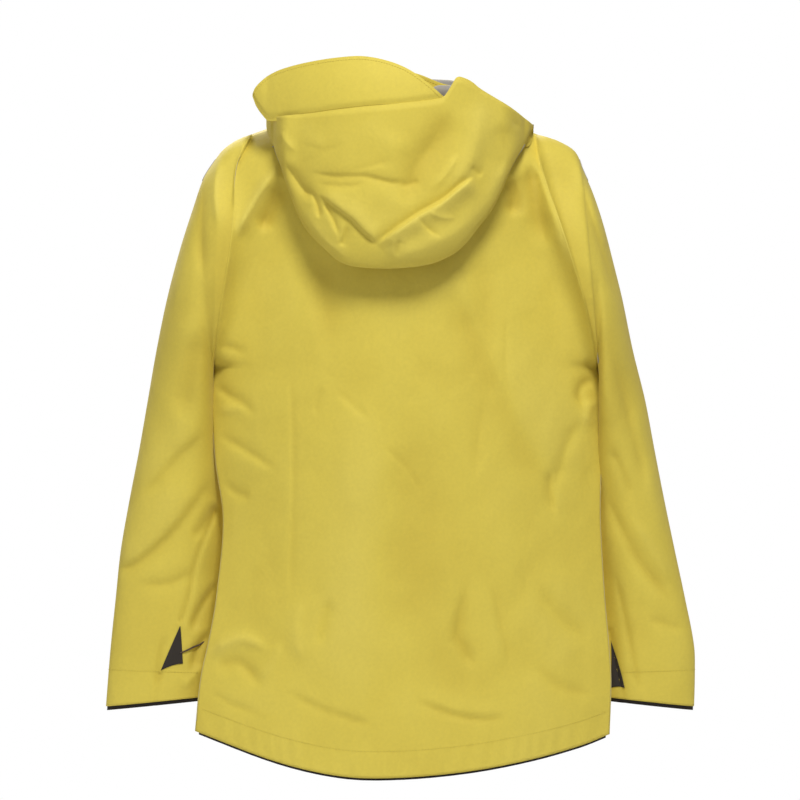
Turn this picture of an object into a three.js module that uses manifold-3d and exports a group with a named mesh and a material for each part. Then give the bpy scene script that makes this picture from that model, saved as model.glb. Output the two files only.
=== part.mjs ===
// Hardshell jacket, hanging by its locker loop, in millimetres.
// +Z is up, the wearer faces -Y and the wearer's left is +X.
// The origin is on the underside of the locker loop, where a hook bears.
// Inside the file y = 0 is the plane of the side seams; the outer group moves it to the origin.
import * as THREE from "three";
import { mergeVertices } from "three/addons/utils/BufferGeometryUtils.js";
import Module from "manifold-3d";

const wasm = await Module();
wasm.setup();

// ---- cloth and clearances ----
const CLOTH = 1.6; // a shell panel with its seam allowance and tape
const FACING = 0.9; // hem and cuff facings, pocket bags
const GAP = 0.35; // between pieces that lie on each other
const SEAM = 0.5; // between the edges of two panels sewn together

// ---- locker loop ----
const LOOP_DROP = 9; // neck seam below the bearing face
const LOOP_HALF = 24; // half of the clear span between the loop's legs
const LOOP_TAPE = 1.5;
const LOOP_WIDTH = 10;
const LOOP_INSET = 13; // middle of the loop in front of the back neck seam

// ---- torso ----
const SIDE_LENGTH = 654; // shoulder point to the hem at the side seam
const SHOULDER_FALL = 27; // shoulder point below the neck seam
const SHOULDER_HALF = 168;
const ARMHOLE_HEIGHT = 264;
const ARMHOLE_HALF_DEPTH = 66;
const CHEST_HALF = 221;
const WAIST_HALF = 216;
const WAIST_SHARE = 0.36; // the waist's place between hem and shoulder
const HEM_HALF = 236;
const BACK_DEPTH = 86; // middle of the back behind the side seams
const HEM_BACK_DEPTH = 70;
const BACK_TAIL = 75; // the tail hangs this far below the side seam
const FRONT_TAIL = 18;
const NECK_HALF = 76;
const NECK_BACK_DEPTH = 55;
const BACK_NECK_DROP = 4;
const FRONT_NECK_DROP = 40;
const SIDE_POINT = 2.2; // exponent of the cross-section, pointed at the side seams
const FRONT_NECK_ROUND = 3; // exponent of the front neckline, flat where the zip crosses it
const SHOULDER_BEND = 1.25; // exponent of the shoulder line's fall
const ROLL_HEIGHT = 78; // height over which the body rolls over onto the shoulder
const FACING_HEIGHT = 28;
const BINDING = 2.5; // how far a facing shows below the edge it faces

// ---- collar ----
const COLLAR_HEIGHT = 52;

// ---- zips ----
const ZIP_TOP_DEPTH = 57; // zip line in front of the side seams, at the collar's top
const ZIP_SLANT = 0.018; // how far the zip line leans forward for each millimetre down
const FRONT_EDGE = 9; // front panel's edge from the zip line
const TAPE_REACH = 14; // a tape's outer edge from the zip line
const TAPE = 0.8;
const TAPE_CLEAR = 0.1; // between the front zip's tapes and the panels over them
const TEETH_WIDTH = 2;
const TEETH = 2.4;
const WEB = 0.6; // the slider's web, between the two rows of teeth
const ZIP_TOP_MARGIN = 8; // a tape's end below the collar's top
const BOX_HEIGHT = 10; // retainer box at the bottom of the front zip
const FLAP_HALF = 12;
const FLAP_FOOT = 4;
const SLIDER_WIDTH = 8;
const SLIDER_HEIGHT = 11;
const SLIDER_PLATE = 1.2;
const LUG = 0.8;
const PIN_RADIUS = 0.5;
const EYE_WALL = 0.9;
const PULL_WIDTH = 3.6;
const PULL_LENGTH = 16;
const PULL_THICK = 1.8;
const GRIP_WIDTH = 7;
const GRIP_LENGTH = 17;
const POCKET_STRIP = 22;
const HAND_ZIP = 178;
const CHEST_ZIP = 122;
const HAND_ZIP_X = 128;
const HAND_ZIP_SIDE_RISE = 155; // middle of the hand zip above the side seam's hem
const HAND_ZIP_LEAN = 0.2; // radians: the lower end lies nearer the side
const CHEST_ZIP_X = 92;
const CHEST_ZIP_FALL = 182; // middle of the chest zip below the shoulder point
const POCKET_BAG_WIDTH = 120;
const BAG_CLEAR = 1.5;
const ZIP_SEAT = 0.35; // between a pocket zip's strip and the panel under it
const ZIP_END = 6; // both of a pocket zip's ends beyond its rails
const BOW_ROWS = 24; // places along a pocket zip where the panel under it is measured

// ---- sleeves ----
const INSEAM = 371; // armhole's lowest point to the cuff
const CUFF_FALL = 14; // the cuff's outer end is this much lower than its inner one
const CAP_WIDTH = 2; // a sleeve ring's outer end beyond its inner one, at the cap
const BICEP_WIDTH = 27;
const ELBOW_WIDTH = 68;
const CUFF_WIDTH = 125;
const BICEP_HALF_DEPTH = 64;
const ELBOW_HALF_DEPTH = 50;
const CUFF_HALF_DEPTH = 26;
const ELBOW_FORWARD = 27;
const CUFF_FORWARD = 44;
const SIDE_CLEAR = 3.2;
const SLEEVE_ROWS = 9;
const CUFF_TUCK = 27; // how far the cuff passes in front of the torso's side
const CUFF_FACING = 26;
const FACING_CLEAR = 1; // between a cuff and its facing
const TAB_WIDTH = 26;
const TAB_THICK = 1.4;
const TAB_CLEAR = 0.6; // under a tab, gusset or cord on the sleeve
const TAB_RISE = 12; // the tab's lower edge above the cuff's
const GUSSET_HEIGHT = 54;
const GUSSET_WIDTH = 22;
const GUSSET_RISE = 38;
const GUSSET_THICK = 0.8;
const VENT_CORD = 1.8;

// ---- hood ----
const HOOD_DROP = 182; // neck seam to the bottom of the hanging hood
const HOOD_HALF = 146;
const HOOD_WING_FROM = 45; // beside the neck the seam falls behind the shoulders,
const HOOD_WING_TO = 85; // from the first of these places to the second,
const HOOD_WING_DROP = 36; // by this much
const HOOD_NECK_EASE = 0.85; // the hood's neck edge is wider than the neck by the inverse of this
const HOOD_BULGE = 58; // how far the hood stands off the back
const HOOD_EDGE_BULGE = 7;
const HOOD_CLEAR = 0.1; // between the hood and the back
const HOOD_CENTRE_HALF = 58; // half of the middle panel
const HOOD_SEAM_RISE = 5; // the hood's seam above the collar's foot
const HOOD_SIDE_DEPTH = 26; // the bag's depth at its sides
const HOOD_SIDE_TOP = 15; // the hood's outer edge below the neck seam, at its sides
const BRIM_HEIGHT = 54;
const BRIM_HALF = 104;
const BRIM_SHIFT = 61; // the brim's middle is this far to the wearer's left
const BRIM_TILT = 0.08; // fall of the brim for each millimetre to the left
const BRIM_THICK = 2.2;
const BRIM_CLEAR = 1.2;
const STIFFENER = 1;

// ---- hem cord locks ----
const LOCK_X = 146;
const LOCK_HEIGHT = 17;
const LOCK_RADIUS = 6;
const LOCK_RISE = 40; // the lock's middle above the hem
const LOCK_WALL = 1.4;
const LOCK_SEAT_CLEAR = 0.9;
const PLUNGER_PROUD = 4;
const PLUNGER_TRAVEL = 2.5;

// ---- places that follow ----
const NECK_Z = -LOOP_DROP;
const SHOULDER_Z = NECK_Z - SHOULDER_FALL;
const SIDE_HEM_Z = SHOULDER_Z - SIDE_LENGTH;
const PIT_Z = SHOULDER_Z - ARMHOLE_HEIGHT;
const COLLAR_TOP = NECK_Z + COLLAR_HEIGHT;
const PIT_SHARE = (PIT_Z - SIDE_HEM_Z) / SIDE_LENGTH;
const LOOP_Y = NECK_BACK_DEPTH - LOOP_INSET;
const QUARTER = Math.PI / 2;

const cloth = (color, roughness) =>
  new THREE.MeshStandardMaterial({ color, roughness, metalness: 0 });
const shell = cloth(0xcbbb4e, 0.75);
const backer = cloth(0xb4ada3, 0.9);
const dark = cloth(0x2c241a, 0.85);
const tapeCloth = cloth(0xb7a63f, 0.55);
const plastic = cloth(0x24231f, 0.4);
const metal = new THREE.MeshStandardMaterial({ color: 0x3a3936, roughness: 0.35, metalness: 0.9 });

const jacket = new THREE.Group();
const garment = new THREE.Group();
garment.position.y = -LOOP_Y;
jacket.add(garment);

// ---- geometry helpers ----

// A smooth curve through [place, value] pairs with rising places, read at any place.
function through(pairs) {
  const slope = (i) => {
    const a = pairs[Math.max(i - 1, 0)];
    const b = pairs[Math.min(i + 1, pairs.length - 1)];
    return (b[1] - a[1]) / (b[0] - a[0]);
  };
  return (place) => {
    let i = 0;
    while (i < pairs.length - 2 && place > pairs[i + 1][0]) i++;
    const [start, from] = pairs[i];
    const [end, to] = pairs[i + 1];
    const span = end - start;
    const k = THREE.MathUtils.clamp((place - start) / span, 0, 1);
    const held = from * (1 + 2 * k) * (1 - k) ** 2 + to * k * k * (3 - 2 * k);
    return held + span * (slope(i) * k * (1 - k) ** 2 - slope(i + 1) * k * k * (1 - k));
  };
}

const mix = THREE.MathUtils.lerp;
const clamp01 = (value) => THREE.MathUtils.clamp(value, 0, 1);

function solidOf(geometry) {
  const bare = geometry.clone();
  bare.deleteAttribute("normal");
  bare.deleteAttribute("uv");
  const merged = mergeVertices(bare, 1e-4);
  const mesh = new wasm.Mesh({
    numProp: 3,
    vertProperties: new Float32Array(merged.attributes.position.array),
    triVerts: new Uint32Array(merged.index.array),
  });
  return new wasm.Manifold(mesh);
}

function geometryOf(solid) {
  const mesh = solid.getMesh();
  const geometry = new THREE.BufferGeometry();
  geometry.setAttribute("position", new THREE.BufferAttribute(mesh.vertProperties, 3));
  geometry.setIndex(new THREE.BufferAttribute(mesh.triVerts, 1));
  geometry.computeVertexNormals();
  return geometry;
}

const joined = (...pieces) =>
  geometryOf(pieces.map(solidOf).reduce((whole, piece) => whole.add(piece)));
const cut = (geometry, tool) => geometryOf(solidOf(geometry).subtract(solidOf(tool)));

// Six times the volume inside a closed geometry, negative where its faces point in.
function signedVolume(geometry) {
  const index = geometry.getIndex();
  const [a, b, c] = [new THREE.Vector3(), new THREE.Vector3(), new THREE.Vector3()];
  let sum = 0;
  for (let i = 0; i < index.count; i += 3) {
    [a, b, c].forEach((corner, k) =>
      corner.fromBufferAttribute(geometry.attributes.position, index.getX(i + k)),
    );
    sum += a.dot(b.cross(c));
  }
  return sum;
}

// Turns a closed geometry's faces outwards.
function facedOut(geometry) {
  if (signedVolume(geometry) > 0) return geometry;
  const index = geometry.getIndex();
  for (let i = 0; i < index.count; i += 3) {
    const second = index.getX(i + 1);
    index.setX(i + 1, index.getX(i + 2));
    index.setX(i + 2, second);
  }
  return geometry;
}

// Moves every vertex of a geometry to the place that its old position stands for.
function laid(geometry, place) {
  const position = geometry.getAttribute("position");
  const vertex = new THREE.Vector3();
  for (let i = 0; i < position.count; i++) {
    const point = place(vertex.fromBufferAttribute(position, i));
    position.setXYZ(i, point.x, point.y, point.z);
  }
  return facedOut(geometry);
}

// A closed sheet of across by along cells; place(u, v, w) takes shares of width, length, thickness.
const sheet = (across, along, place) =>
  laid(new THREE.BoxGeometry(1, 1, 1, across, along, 1), (cell) =>
    place(cell.x + 0.5, cell.y + 0.5, cell.z + 0.5),
  );

// A closed band all round; place(turn, v, w) takes an angle and shares of length and thickness.
function band(around, place) {
  const section = [[1, 0], [2, 0], [2, 1], [1, 1], [1, 0]].map(([r, h]) => new THREE.Vector2(r, h));
  return laid(new THREE.LatheGeometry(section, around), (spot) =>
    place(Math.atan2(spot.x, spot.z), spot.y, Math.hypot(spot.x, spot.z) - 1),
  );
}

const block = (width, depth, height, x = 0, y = 0, z = 0) =>
  new THREE.BoxGeometry(width, depth, height).translate(x, y, z);
const rod = (radius, length, sides) =>
  new THREE.CylinderGeometry(radius, radius, length, sides).rotateZ(QUARTER);

// A section in x and y, raised along +Z from z = 0.
function raised(points, height) {
  const shape = new THREE.Shape(points.map(([x, y]) => new THREE.Vector2(x, y)));
  return new THREE.ExtrudeGeometry(shape, { depth: height, bevelEnabled: false });
}

function add(name, geometry, material, parent = garment) {
  const mesh = new THREE.Mesh(geometry, material);
  mesh.name = name;
  parent.add(mesh);
}

// ---- torso ----

const halfWidth = through([
  [SIDE_HEM_Z, HEM_HALF],
  [SIDE_HEM_Z + WAIST_SHARE * SIDE_LENGTH, WAIST_HALF],
  [PIT_Z, CHEST_HALF],
  [SHOULDER_Z, SHOULDER_HALF],
]);
const backMiddle = through([
  [SIDE_HEM_Z, HEM_BACK_DEPTH],
  [PIT_Z, BACK_DEPTH],
  [SHOULDER_Z, BACK_DEPTH],
]);
const zipDepth = (z) => ZIP_TOP_DEPTH + ZIP_SLANT * (COLLAR_TOP - z);

// Height of the neckline and shoulder line above x, on the back (side 1) or the front (side -1).
function topHeight(x, side) {
  const reach = Math.abs(x) / NECK_HALF;
  if (reach < 1) return NECK_Z - (side > 0 ? BACK_NECK_DROP : FRONT_NECK_DROP) * (1 - reach ** 2);
  const out = (Math.abs(x) - NECK_HALF) / (SHOULDER_HALF - NECK_HALF);
  return NECK_Z - SHOULDER_FALL * out ** SHOULDER_BEND;
}

// How far the neckline stands behind or in front of the shoulder line at height z.
function neckDepth(x, side, z) {
  const reach = Math.min(Math.abs(x) / NECK_HALF, 1);
  if (side > 0) return NECK_BACK_DEPTH * Math.sqrt(1 - reach ** 2);
  return zipDepth(z) * (1 - reach ** FRONT_NECK_ROUND) ** (1 / FRONT_NECK_ROUND);
}

// Half-depth of the armhole, an ellipse over the shares of the side from the pit to the shoulder.
function armholeDepth(share) {
  const up = clamp01((share - PIT_SHARE) / (1 - PIT_SHARE));
  return ARMHOLE_HALF_DEPTH * 2 * Math.sqrt(up * (1 - up));
}

// A point of the torso: across runs from edge (a distance from the middle) to the side at 1,
// share from the hem to the shoulder, and lift stands off the inner face.
function torsoPoint(flank, side, edge, across, share, lift) {
  const half = halfWidth(SIDE_HEM_Z + SIDE_LENGTH * share);
  const x = mix(edge, half, across);
  const topX = mix(edge, SHOULDER_HALF, across);
  const ratio = Math.min(x / half, 1);
  const body = 1 - ratio ** SIDE_POINT;
  const hemZ = SIDE_HEM_Z - (side > 0 ? BACK_TAIL : FRONT_TAIL) * body;
  const topZ = topHeight(topX, side);
  const z = mix(hemZ, topZ, share);
  const rim = armholeDepth(share);
  const middle = side > 0 ? backMiddle(z) : zipDepth(z);
  const depth = mix(rim, middle, body);
  const neck = neckDepth(topX, side, topZ);
  const above = clamp01((z - topZ + ROLL_HEIGHT) / ROLL_HEIGHT);
  const over = side > 0 ? above : above * clamp01(x / NECK_HALF) ** 2;
  const rolled = mix(neck, depth, Math.sqrt(1 - over ** 2));
  const y = SEAM / 2 + (across < 1 ? rolled : rim);
  const lean = QUARTER * over ** 3;
  return new THREE.Vector3(flank * x, side * (y + lift * Math.cos(lean)), z + lift * Math.sin(lean));
}

// Rows of the torso's grid: even up to the armhole, then as its ellipse needs.
const LOWER_ROWS = 6;
const ARM_ROWS = 8;
const ROWS = LOWER_ROWS + ARM_ROWS;
function rowShare(v) {
  const row = v * ROWS;
  if (row <= LOWER_ROWS) return (PIT_SHARE * row) / LOWER_ROWS;
  const turn = (Math.PI * (row - LOWER_ROWS)) / ARM_ROWS;
  return mix(PIT_SHARE, 1, (1 - Math.cos(turn)) / 2);
}

const BACK_COLUMNS = 14;
const FRONT_COLUMNS = 7;
const onBack = (u, share, lift) =>
  torsoPoint(u < 0.5 ? -1 : 1, 1, 0, Math.abs(2 * u - 1), share, lift);
const onFront = (flank) => (u, share, lift) =>
  torsoPoint(flank, -1, FRONT_EDGE, u, share, lift);

const FACING_INSET = 0.006; // share of the width left free at a side seam
const PAST_TAPE = (TAPE_REACH + 2 * GAP - FRONT_EDGE) / (HEM_HALF - FRONT_EDGE);

// A facing inside the hem of a panel, flat against its lowest cells and showing a little below.
const hemFacing = (columns, from, surface) =>
  sheet(columns, 1, (u, v, w) => {
    const across = mix(from, 1 - FACING_INSET, u);
    const cell = rowShare(1 / ROWS);
    const rise = mix(-BINDING, FACING_HEIGHT, v) / SIDE_LENGTH;
    const lift = -GAP - FACING * w;
    return surface(across, 0, lift).lerp(surface(across, cell, lift), rise / cell);
  });

add("back_panel", sheet(BACK_COLUMNS, ROWS, (u, v, w) => onBack(u, rowShare(v), w * CLOTH)), shell);
add("back_hem_facing", hemFacing(BACK_COLUMNS, FACING_INSET, onBack), dark);
for (const [flank, name] of [[1, "left"], [-1, "right"]]) {
  const surface = onFront(flank);
  const panel = sheet(FRONT_COLUMNS, ROWS, (u, v, w) => surface(u, rowShare(v), w * CLOTH));
  add(`${name}_front_panel`, panel, shell);
  add(`${name}_front_hem_facing`, hemFacing(FRONT_COLUMNS, PAST_TAPE, surface), dark);
}


// ---- collar, round the neck from one side of the zip to the other ----


// A point of the collar: turn is 0 at the back and half a turn at the zip.
function collarPoint(turn, height, lift) {
  const side = Math.cos(turn) > 0 ? 1 : -1;
  const x = NECK_HALF * Math.sin(turn);
  const foot = topHeight(x, side) + CLOTH + GAP;
  const z = mix(foot, COLLAR_TOP, height);
  const depth = neckDepth(x, side, z) + SEAM / 2;
  const out = new THREE.Vector3(Math.sin(turn), side * Math.abs(Math.cos(turn)), 0).normalize();
  return new THREE.Vector3(x, side * depth, z).addScaledVector(out, lift);
}
const turnTo = (edge) => Math.PI - Math.asin(edge / NECK_HALF);
function collarSheet(edge, low, high, inner, outer) {
  return sheet(20, 2, (u, v, w) => {
    const turn = mix(-1, 1, u) * turnTo(FRONT_EDGE);
    const reached = THREE.MathUtils.clamp(turn, -turnTo(edge), turnTo(edge));
    return collarPoint(reached, mix(low, high, v), mix(inner, outer, w));
  });
}
add("collar", collarSheet(FRONT_EDGE, 0, 1, 0, CLOTH), shell);
add("collar_lining", collarSheet(TAPE_REACH + 1, 0.04, 0.97, -2 * GAP - FACING, -2 * GAP), backer);

// ---- locker loop: a strap with its two legs turned back to the neck seam ----

const LOOP_FOOT_Y = 7.9; // from the strap's middle to the collar's lining
const loopLeg = (flank) => {
  const x = flank * (LOOP_HALF + LOOP_TAPE / 2);
  const drop = LOOP_DROP - GAP;
  const leg = block(LOOP_TAPE, LOOP_WIDTH, drop, x, LOOP_Y, LOOP_TAPE - drop / 2);
  const reach = LOOP_FOOT_Y - LOOP_WIDTH / 2 + 1;
  const footY = LOOP_Y + LOOP_FOOT_Y - reach / 2;
  return [leg, block(LOOP_TAPE, reach, LOOP_TAPE, x, footY, 1.5 * LOOP_TAPE - drop)];
};
const loopBar = block(2 * (LOOP_HALF + LOOP_TAPE), LOOP_WIDTH, LOOP_TAPE, 0, LOOP_Y, LOOP_TAPE / 2);
add("hang_loop", joined(loopBar, ...loopLeg(1), ...loopLeg(-1)), dark);

// ---- zip parts, each in a frame with the zip along Z and its outside towards -Y ----

const TEETH_IN = WEB / 2 + GAP;
const TEETH_OUT = TEETH_IN + TEETH_WIDTH;
const PLATE_MIDDLE = TEETH / 2 + GAP + SLIDER_PLATE / 2;
const EYE_RADIUS = PIN_RADIUS + GAP + EYE_WALL;
const PIN_Y = -(PLATE_MIDDLE + SLIDER_PLATE / 2 + GAP + EYE_RADIUS);
const LUG_X = PULL_WIDTH / 2 + GAP + LUG / 2;

const halfTape = (flank, length) =>
  raised(
    [
      [TEETH_IN, -TEETH / 2],
      [TEETH_OUT, -TEETH / 2],
      [TEETH_OUT, -TAPE / 2],
      [TAPE_REACH, -TAPE / 2],
      [TAPE_REACH, TAPE / 2],
      [TEETH_OUT, TAPE / 2],
      [TEETH_OUT, TEETH / 2],
      [TEETH_IN, TEETH / 2],
    ].map(([x, y]) => [flank * x, y]),
    length,
  );

function sliderBody() {
  const lugDepth = -PIN_Y - PLATE_MIDDLE + PIN_RADIUS * 2;
  const lug = (flank) =>
    block(LUG, lugDepth, 4, flank * LUG_X, -(PLATE_MIDDLE + lugDepth / 2), 0);
  return joined(
    block(SLIDER_WIDTH, SLIDER_PLATE, SLIDER_HEIGHT, 0, -PLATE_MIDDLE, 0),
    block(SLIDER_WIDTH, SLIDER_PLATE, SLIDER_HEIGHT, 0, PLATE_MIDDLE, 0),
    block(WEB, 2 * PLATE_MIDDLE, SLIDER_HEIGHT / 2, 0, 0, SLIDER_HEIGHT / 4),
    lug(1),
    lug(-1),
    rod(PIN_RADIUS, 2 * LUG_X, 8).translate(0, PIN_Y, 0),
  );
}

// The pull hangs from the slider's pin, which is the origin of its own frame.
function pullTab() {
  const tab = joined(
    rod(EYE_RADIUS, PULL_WIDTH, 12),
    block(PULL_WIDTH, PULL_THICK, PULL_LENGTH, 0, 0, -PULL_LENGTH / 2),
    block(GRIP_WIDTH, PULL_THICK, GRIP_LENGTH, 0, 0, -PULL_LENGTH - GRIP_LENGTH / 2 + 1),
  );
  return cut(tab, rod(PIN_RADIUS + GAP, 2 * PULL_WIDTH, 12));
}

// A slider with its pull hanging along the zip.
function addSlider(name, zip, height) {
  const slider = new THREE.Group();
  slider.position.z = height;
  zip.add(slider);
  add(`${name}_slider`, sliderBody(), metal, slider);
  const pull = new THREE.Group();
  pull.position.y = PIN_Y;
  slider.add(pull);
  add(`${name}_pull`, pullTab(), plastic, pull);
}

// ---- front zip ----

// How far a front panel's first column of cells falls back over the reach of the tape.
const tapeFall = Math.max(
  ...[0, 0.25, 0.5, 0.75, 1].map((share) => {
    const cell = torsoPoint(1, -1, FRONT_EDGE, 1 / FRONT_COLUMNS, share, 0);
    const fall = cell.y - torsoPoint(1, -1, FRONT_EDGE, 0, share, 0).y;
    return (fall * (TAPE_REACH - FRONT_EDGE)) / (cell.x - FRONT_EDGE);
  }),
);
const ZIP_BACK = TAPE / 2 + TAPE_CLEAR + tapeFall; // its middle behind the panels' inner faces
const ZIP_BOTTOM = SIDE_HEM_Z - FRONT_TAIL + BOX_HEIGHT + GAP;
const ZIP_TOP = COLLAR_TOP - ZIP_TOP_MARGIN;
const zipLean = Math.atan(ZIP_SLANT);
const zipLength = (ZIP_TOP - ZIP_BOTTOM) / Math.cos(zipLean);
const frontZip = new THREE.Group();
frontZip.position.set(0, ZIP_BACK - SEAM / 2 - zipDepth(ZIP_BOTTOM), ZIP_BOTTOM);
frontZip.rotation.x = -zipLean;
garment.add(frontZip);
for (const [flank, name] of [[1, "left"], [-1, "right"]]) {
  add(`${name}_zip_tape`, halfTape(flank, zipLength), tapeCloth, frontZip);
}
const boxDepth = TEETH + 2;
const boxBlock = block(SLIDER_WIDTH, boxDepth, BOX_HEIGHT - GAP, 0, 0, -BOX_HEIGHT / 2 - GAP / 2);
add("zip_retainer_box", boxBlock, plastic, frontZip);
addSlider("main", frontZip, zipLength - SLIDER_HEIGHT);

// The flap lies behind the slider and is sewn to the left front beyond the tape.
const FLAP_Y = PLATE_MIDDLE + SLIDER_PLATE / 2 + GAP;
const footIn = TAPE_REACH + GAP;
const flapSection = [
  [-FLAP_HALF, FLAP_Y],
  [footIn, FLAP_Y],
  [footIn, -TAPE / 2 + GAP],
  [footIn + FLAP_FOOT, -TAPE / 2 + GAP],
  [footIn + FLAP_FOOT, FLAP_Y + FACING],
  [-FLAP_HALF, FLAP_Y + FACING],
];
const flapMargin = FACING_HEIGHT + GAP;
const flap = raised(flapSection, ZIP_TOP - ZIP_BOTTOM - COLLAR_HEIGHT - FRONT_NECK_DROP - flapMargin);
add("storm_flap", flap.translate(0, 0, flapMargin), shell, frontZip);

// ---- pocket zips and bags on the front panels ----

// A frame on a front panel's outer face at (x, z), its Z axis along a zip that leans outwards.
function onFrontPanel(flank, x, z, lean) {
  const surface = onFront(flank);
  const share = (z - SIDE_HEM_Z) / SIDE_LENGTH;
  const at = (dx, dz) => {
    const half = halfWidth(z + dz);
    const across = (x + dx - FRONT_EDGE) / (half - FRONT_EDGE);
    return surface(across, share + dz / SIDE_LENGTH, CLOTH);
  };
  const run = 40;
  const up = at(-Math.tan(lean) * run, run).sub(at(Math.tan(lean) * run, -run));
  const across = at(5, 0).sub(at(-5, 0)).multiplyScalar(flank);
  up.normalize();
  const inward = new THREE.Vector3().crossVectors(up, across).normalize();
  const side = new THREE.Vector3().crossVectors(inward, up);
  const frame = new THREE.Group();
  frame.quaternion.setFromRotationMatrix(new THREE.Matrix4().makeBasis(side, inward, up));
  frame.position.copy(at(0, 0));
  garment.add(frame);
  return frame;
}

// How far a front panel stands out through the plane of a frame on it, under a straight zip.
function panelBow(panel, frame, length) {
  jacket.updateMatrixWorld(true);
  const inward = new THREE.Vector3(0, 1, 0).transformDirection(frame.matrixWorld);
  let bow = 0;
  for (let i = 0; i <= BOW_ROWS; i++) {
    for (const reach of [-0.5, -0.25, 0, 0.25, 0.5]) {
      const along = (i / BOW_ROWS - 0.5) * (length + ZIP_END);
      const start = frame.localToWorld(new THREE.Vector3(reach * POCKET_STRIP, -HAND_ZIP, along));
      const [hit] = new THREE.Raycaster(start, inward).intersectObject(panel);
      bow = Math.max(bow, HAND_ZIP - hit.distance);
    }
  }
  return bow;
}

// A welded pocket zip: a strip with both rows of teeth standing on it, clear of the panel.
function addPocketZip(name, flank, x, z, lean, length) {
  const frame = onFrontPanel(flank, x, z, lean);
  const zip = new THREE.Group();
  const panel = garment.getObjectByName(flank > 0 ? "left_front_panel" : "right_front_panel");
  const half = POCKET_STRIP / 2;
  const foot = FLAP_Y + TAPE / 2;
  zip.position.y = -(foot + panelBow(panel, frame, length) + ZIP_SEAT);
  frame.add(zip);
  const rail = (side) => {
    const web = [
      [TEETH_OUT, -TEETH / 2],
      [TEETH_OUT, -TAPE / 2],
      [half - TAPE, -TAPE / 2],
      [half, foot],
      [SLIDER_WIDTH / 2, foot],
      [SLIDER_WIDTH / 2, foot - TAPE],
      [half - 2 * TAPE, foot - TAPE],
      [half - 3 * TAPE, TAPE / 2],
      [TEETH_OUT, TAPE / 2],
      [TEETH_OUT, TEETH / 2],
      [TEETH_IN, TEETH / 2],
      [TEETH_IN, -TEETH / 2],
    ];
    return raised(web.map(([px, py]) => [side * px, py]), length).translate(0, 0, -length / 2);
  };
  const endHeight = ZIP_END / 2 + 1;
  const end = (where) =>
    block(POCKET_STRIP, foot + TEETH / 2, endHeight, 0, (foot - TEETH / 2) / 2, where);
  const top = end((length + endHeight) / 2 - 1);
  const bottom = end(-(length + endHeight) / 2 + 1);
  add(`${name}_zip`, joined(rail(1), rail(-1), top, bottom), tapeCloth, zip);
  addSlider(name, zip, length / 2 - SLIDER_HEIGHT);
}

// A pocket bag welded inside a front panel round its zip.
function addPocketBag(name, flank, x, z, width, height) {
  const surface = onFront(flank);
  const share = (z - SIDE_HEM_Z) / SIDE_LENGTH;
  const half = halfWidth(z) - FRONT_EDGE;
  const bag = sheet(5, 8, (u, v, w) =>
    surface(
      (x - FRONT_EDGE + (u - 0.5) * width) / half,
      share + ((v - 0.5) * height) / SIDE_LENGTH,
      -BAG_CLEAR - FACING * w,
    ),
  );
  add(`${name}_bag`, bag, backer);
}

const HAND_Z = SIDE_HEM_Z + HAND_ZIP_SIDE_RISE;
const CHEST_Z = SHOULDER_Z - CHEST_ZIP_FALL;
for (const [flank, name] of [[1, "left_pocket"], [-1, "right_pocket"]]) {
  addPocketZip(name, flank, HAND_ZIP_X, HAND_Z, HAND_ZIP_LEAN, HAND_ZIP);
  addPocketBag(name, flank, HAND_ZIP_X - 15, HAND_Z - 10, POCKET_BAG_WIDTH, HAND_ZIP + 30);
}
addPocketZip("chest_pocket", 1, CHEST_ZIP_X, CHEST_Z, 0, CHEST_ZIP);
addPocketBag("chest_pocket", 1, CHEST_ZIP_X - 12, CHEST_Z, POCKET_BAG_WIDTH - 20, CHEST_ZIP + 12);

// ---- sleeves ----

const CUFF_IN_Z = PIT_Z - INSEAM;
const CUFF_OUT_Z = CUFF_IN_Z - CUFF_FALL;
const sleeveSpread = through([
  [0, SHOULDER_HALF - CHEST_HALF],
  [0.077, CAP_WIDTH],
  [0.2, BICEP_WIDTH],
  [0.467, ELBOW_WIDTH],
  [1, CUFF_WIDTH],
]);
const sleeveHalfDepth = through([
  [0, ARMHOLE_HALF_DEPTH],
  [0.25, BICEP_HALF_DEPTH],
  [0.55, ELBOW_HALF_DEPTH],
  [1, CUFF_HALF_DEPTH],
]);
const sleeveForward = through([
  [0, 0],
  [0.2, 5],
  [0.5, ELBOW_FORWARD],
  [1, CUFF_FORWARD],
]);

// How far the torso's side stands out from a straight run of two rows of a sleeve.
function sideBow(z) {
  const run = INSEAM / SLEEVE_ROWS;
  return Math.max(halfWidth(z) - (halfWidth(z - run) + halfWidth(z + run)) / 2, 0);
}

// A point of a sleeve's outer face: turn is 0 along the outside, half a turn along the inside
// and positive towards the back, and v runs from armhole to cuff.
function sleeveFace(turn, v) {
  const tuck = CUFF_TUCK * THREE.MathUtils.smoothstep(v, 0.35, 1);
  const innerZ = mix(PIT_Z, CUFF_IN_Z, v);
  const outerZ = mix(SHOULDER_Z, CUFF_OUT_Z, v);
  const clear = (SIDE_CLEAR + sideBow(innerZ)) * clamp01(6 * v);
  const innerX = halfWidth(innerZ) + clear - tuck;
  const inner = new THREE.Vector3(innerX, 0, innerZ);
  const outer = new THREE.Vector3(innerX + sleeveSpread(v), 0, outerZ);
  const axis = outer.clone().sub(inner).multiplyScalar(0.5);
  const point = inner.add(outer).multiplyScalar(0.5).addScaledVector(axis, Math.cos(turn));
  point.y = sleeveHalfDepth(v) * Math.sin(turn) - sleeveForward(v);
  return point;
}

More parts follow.
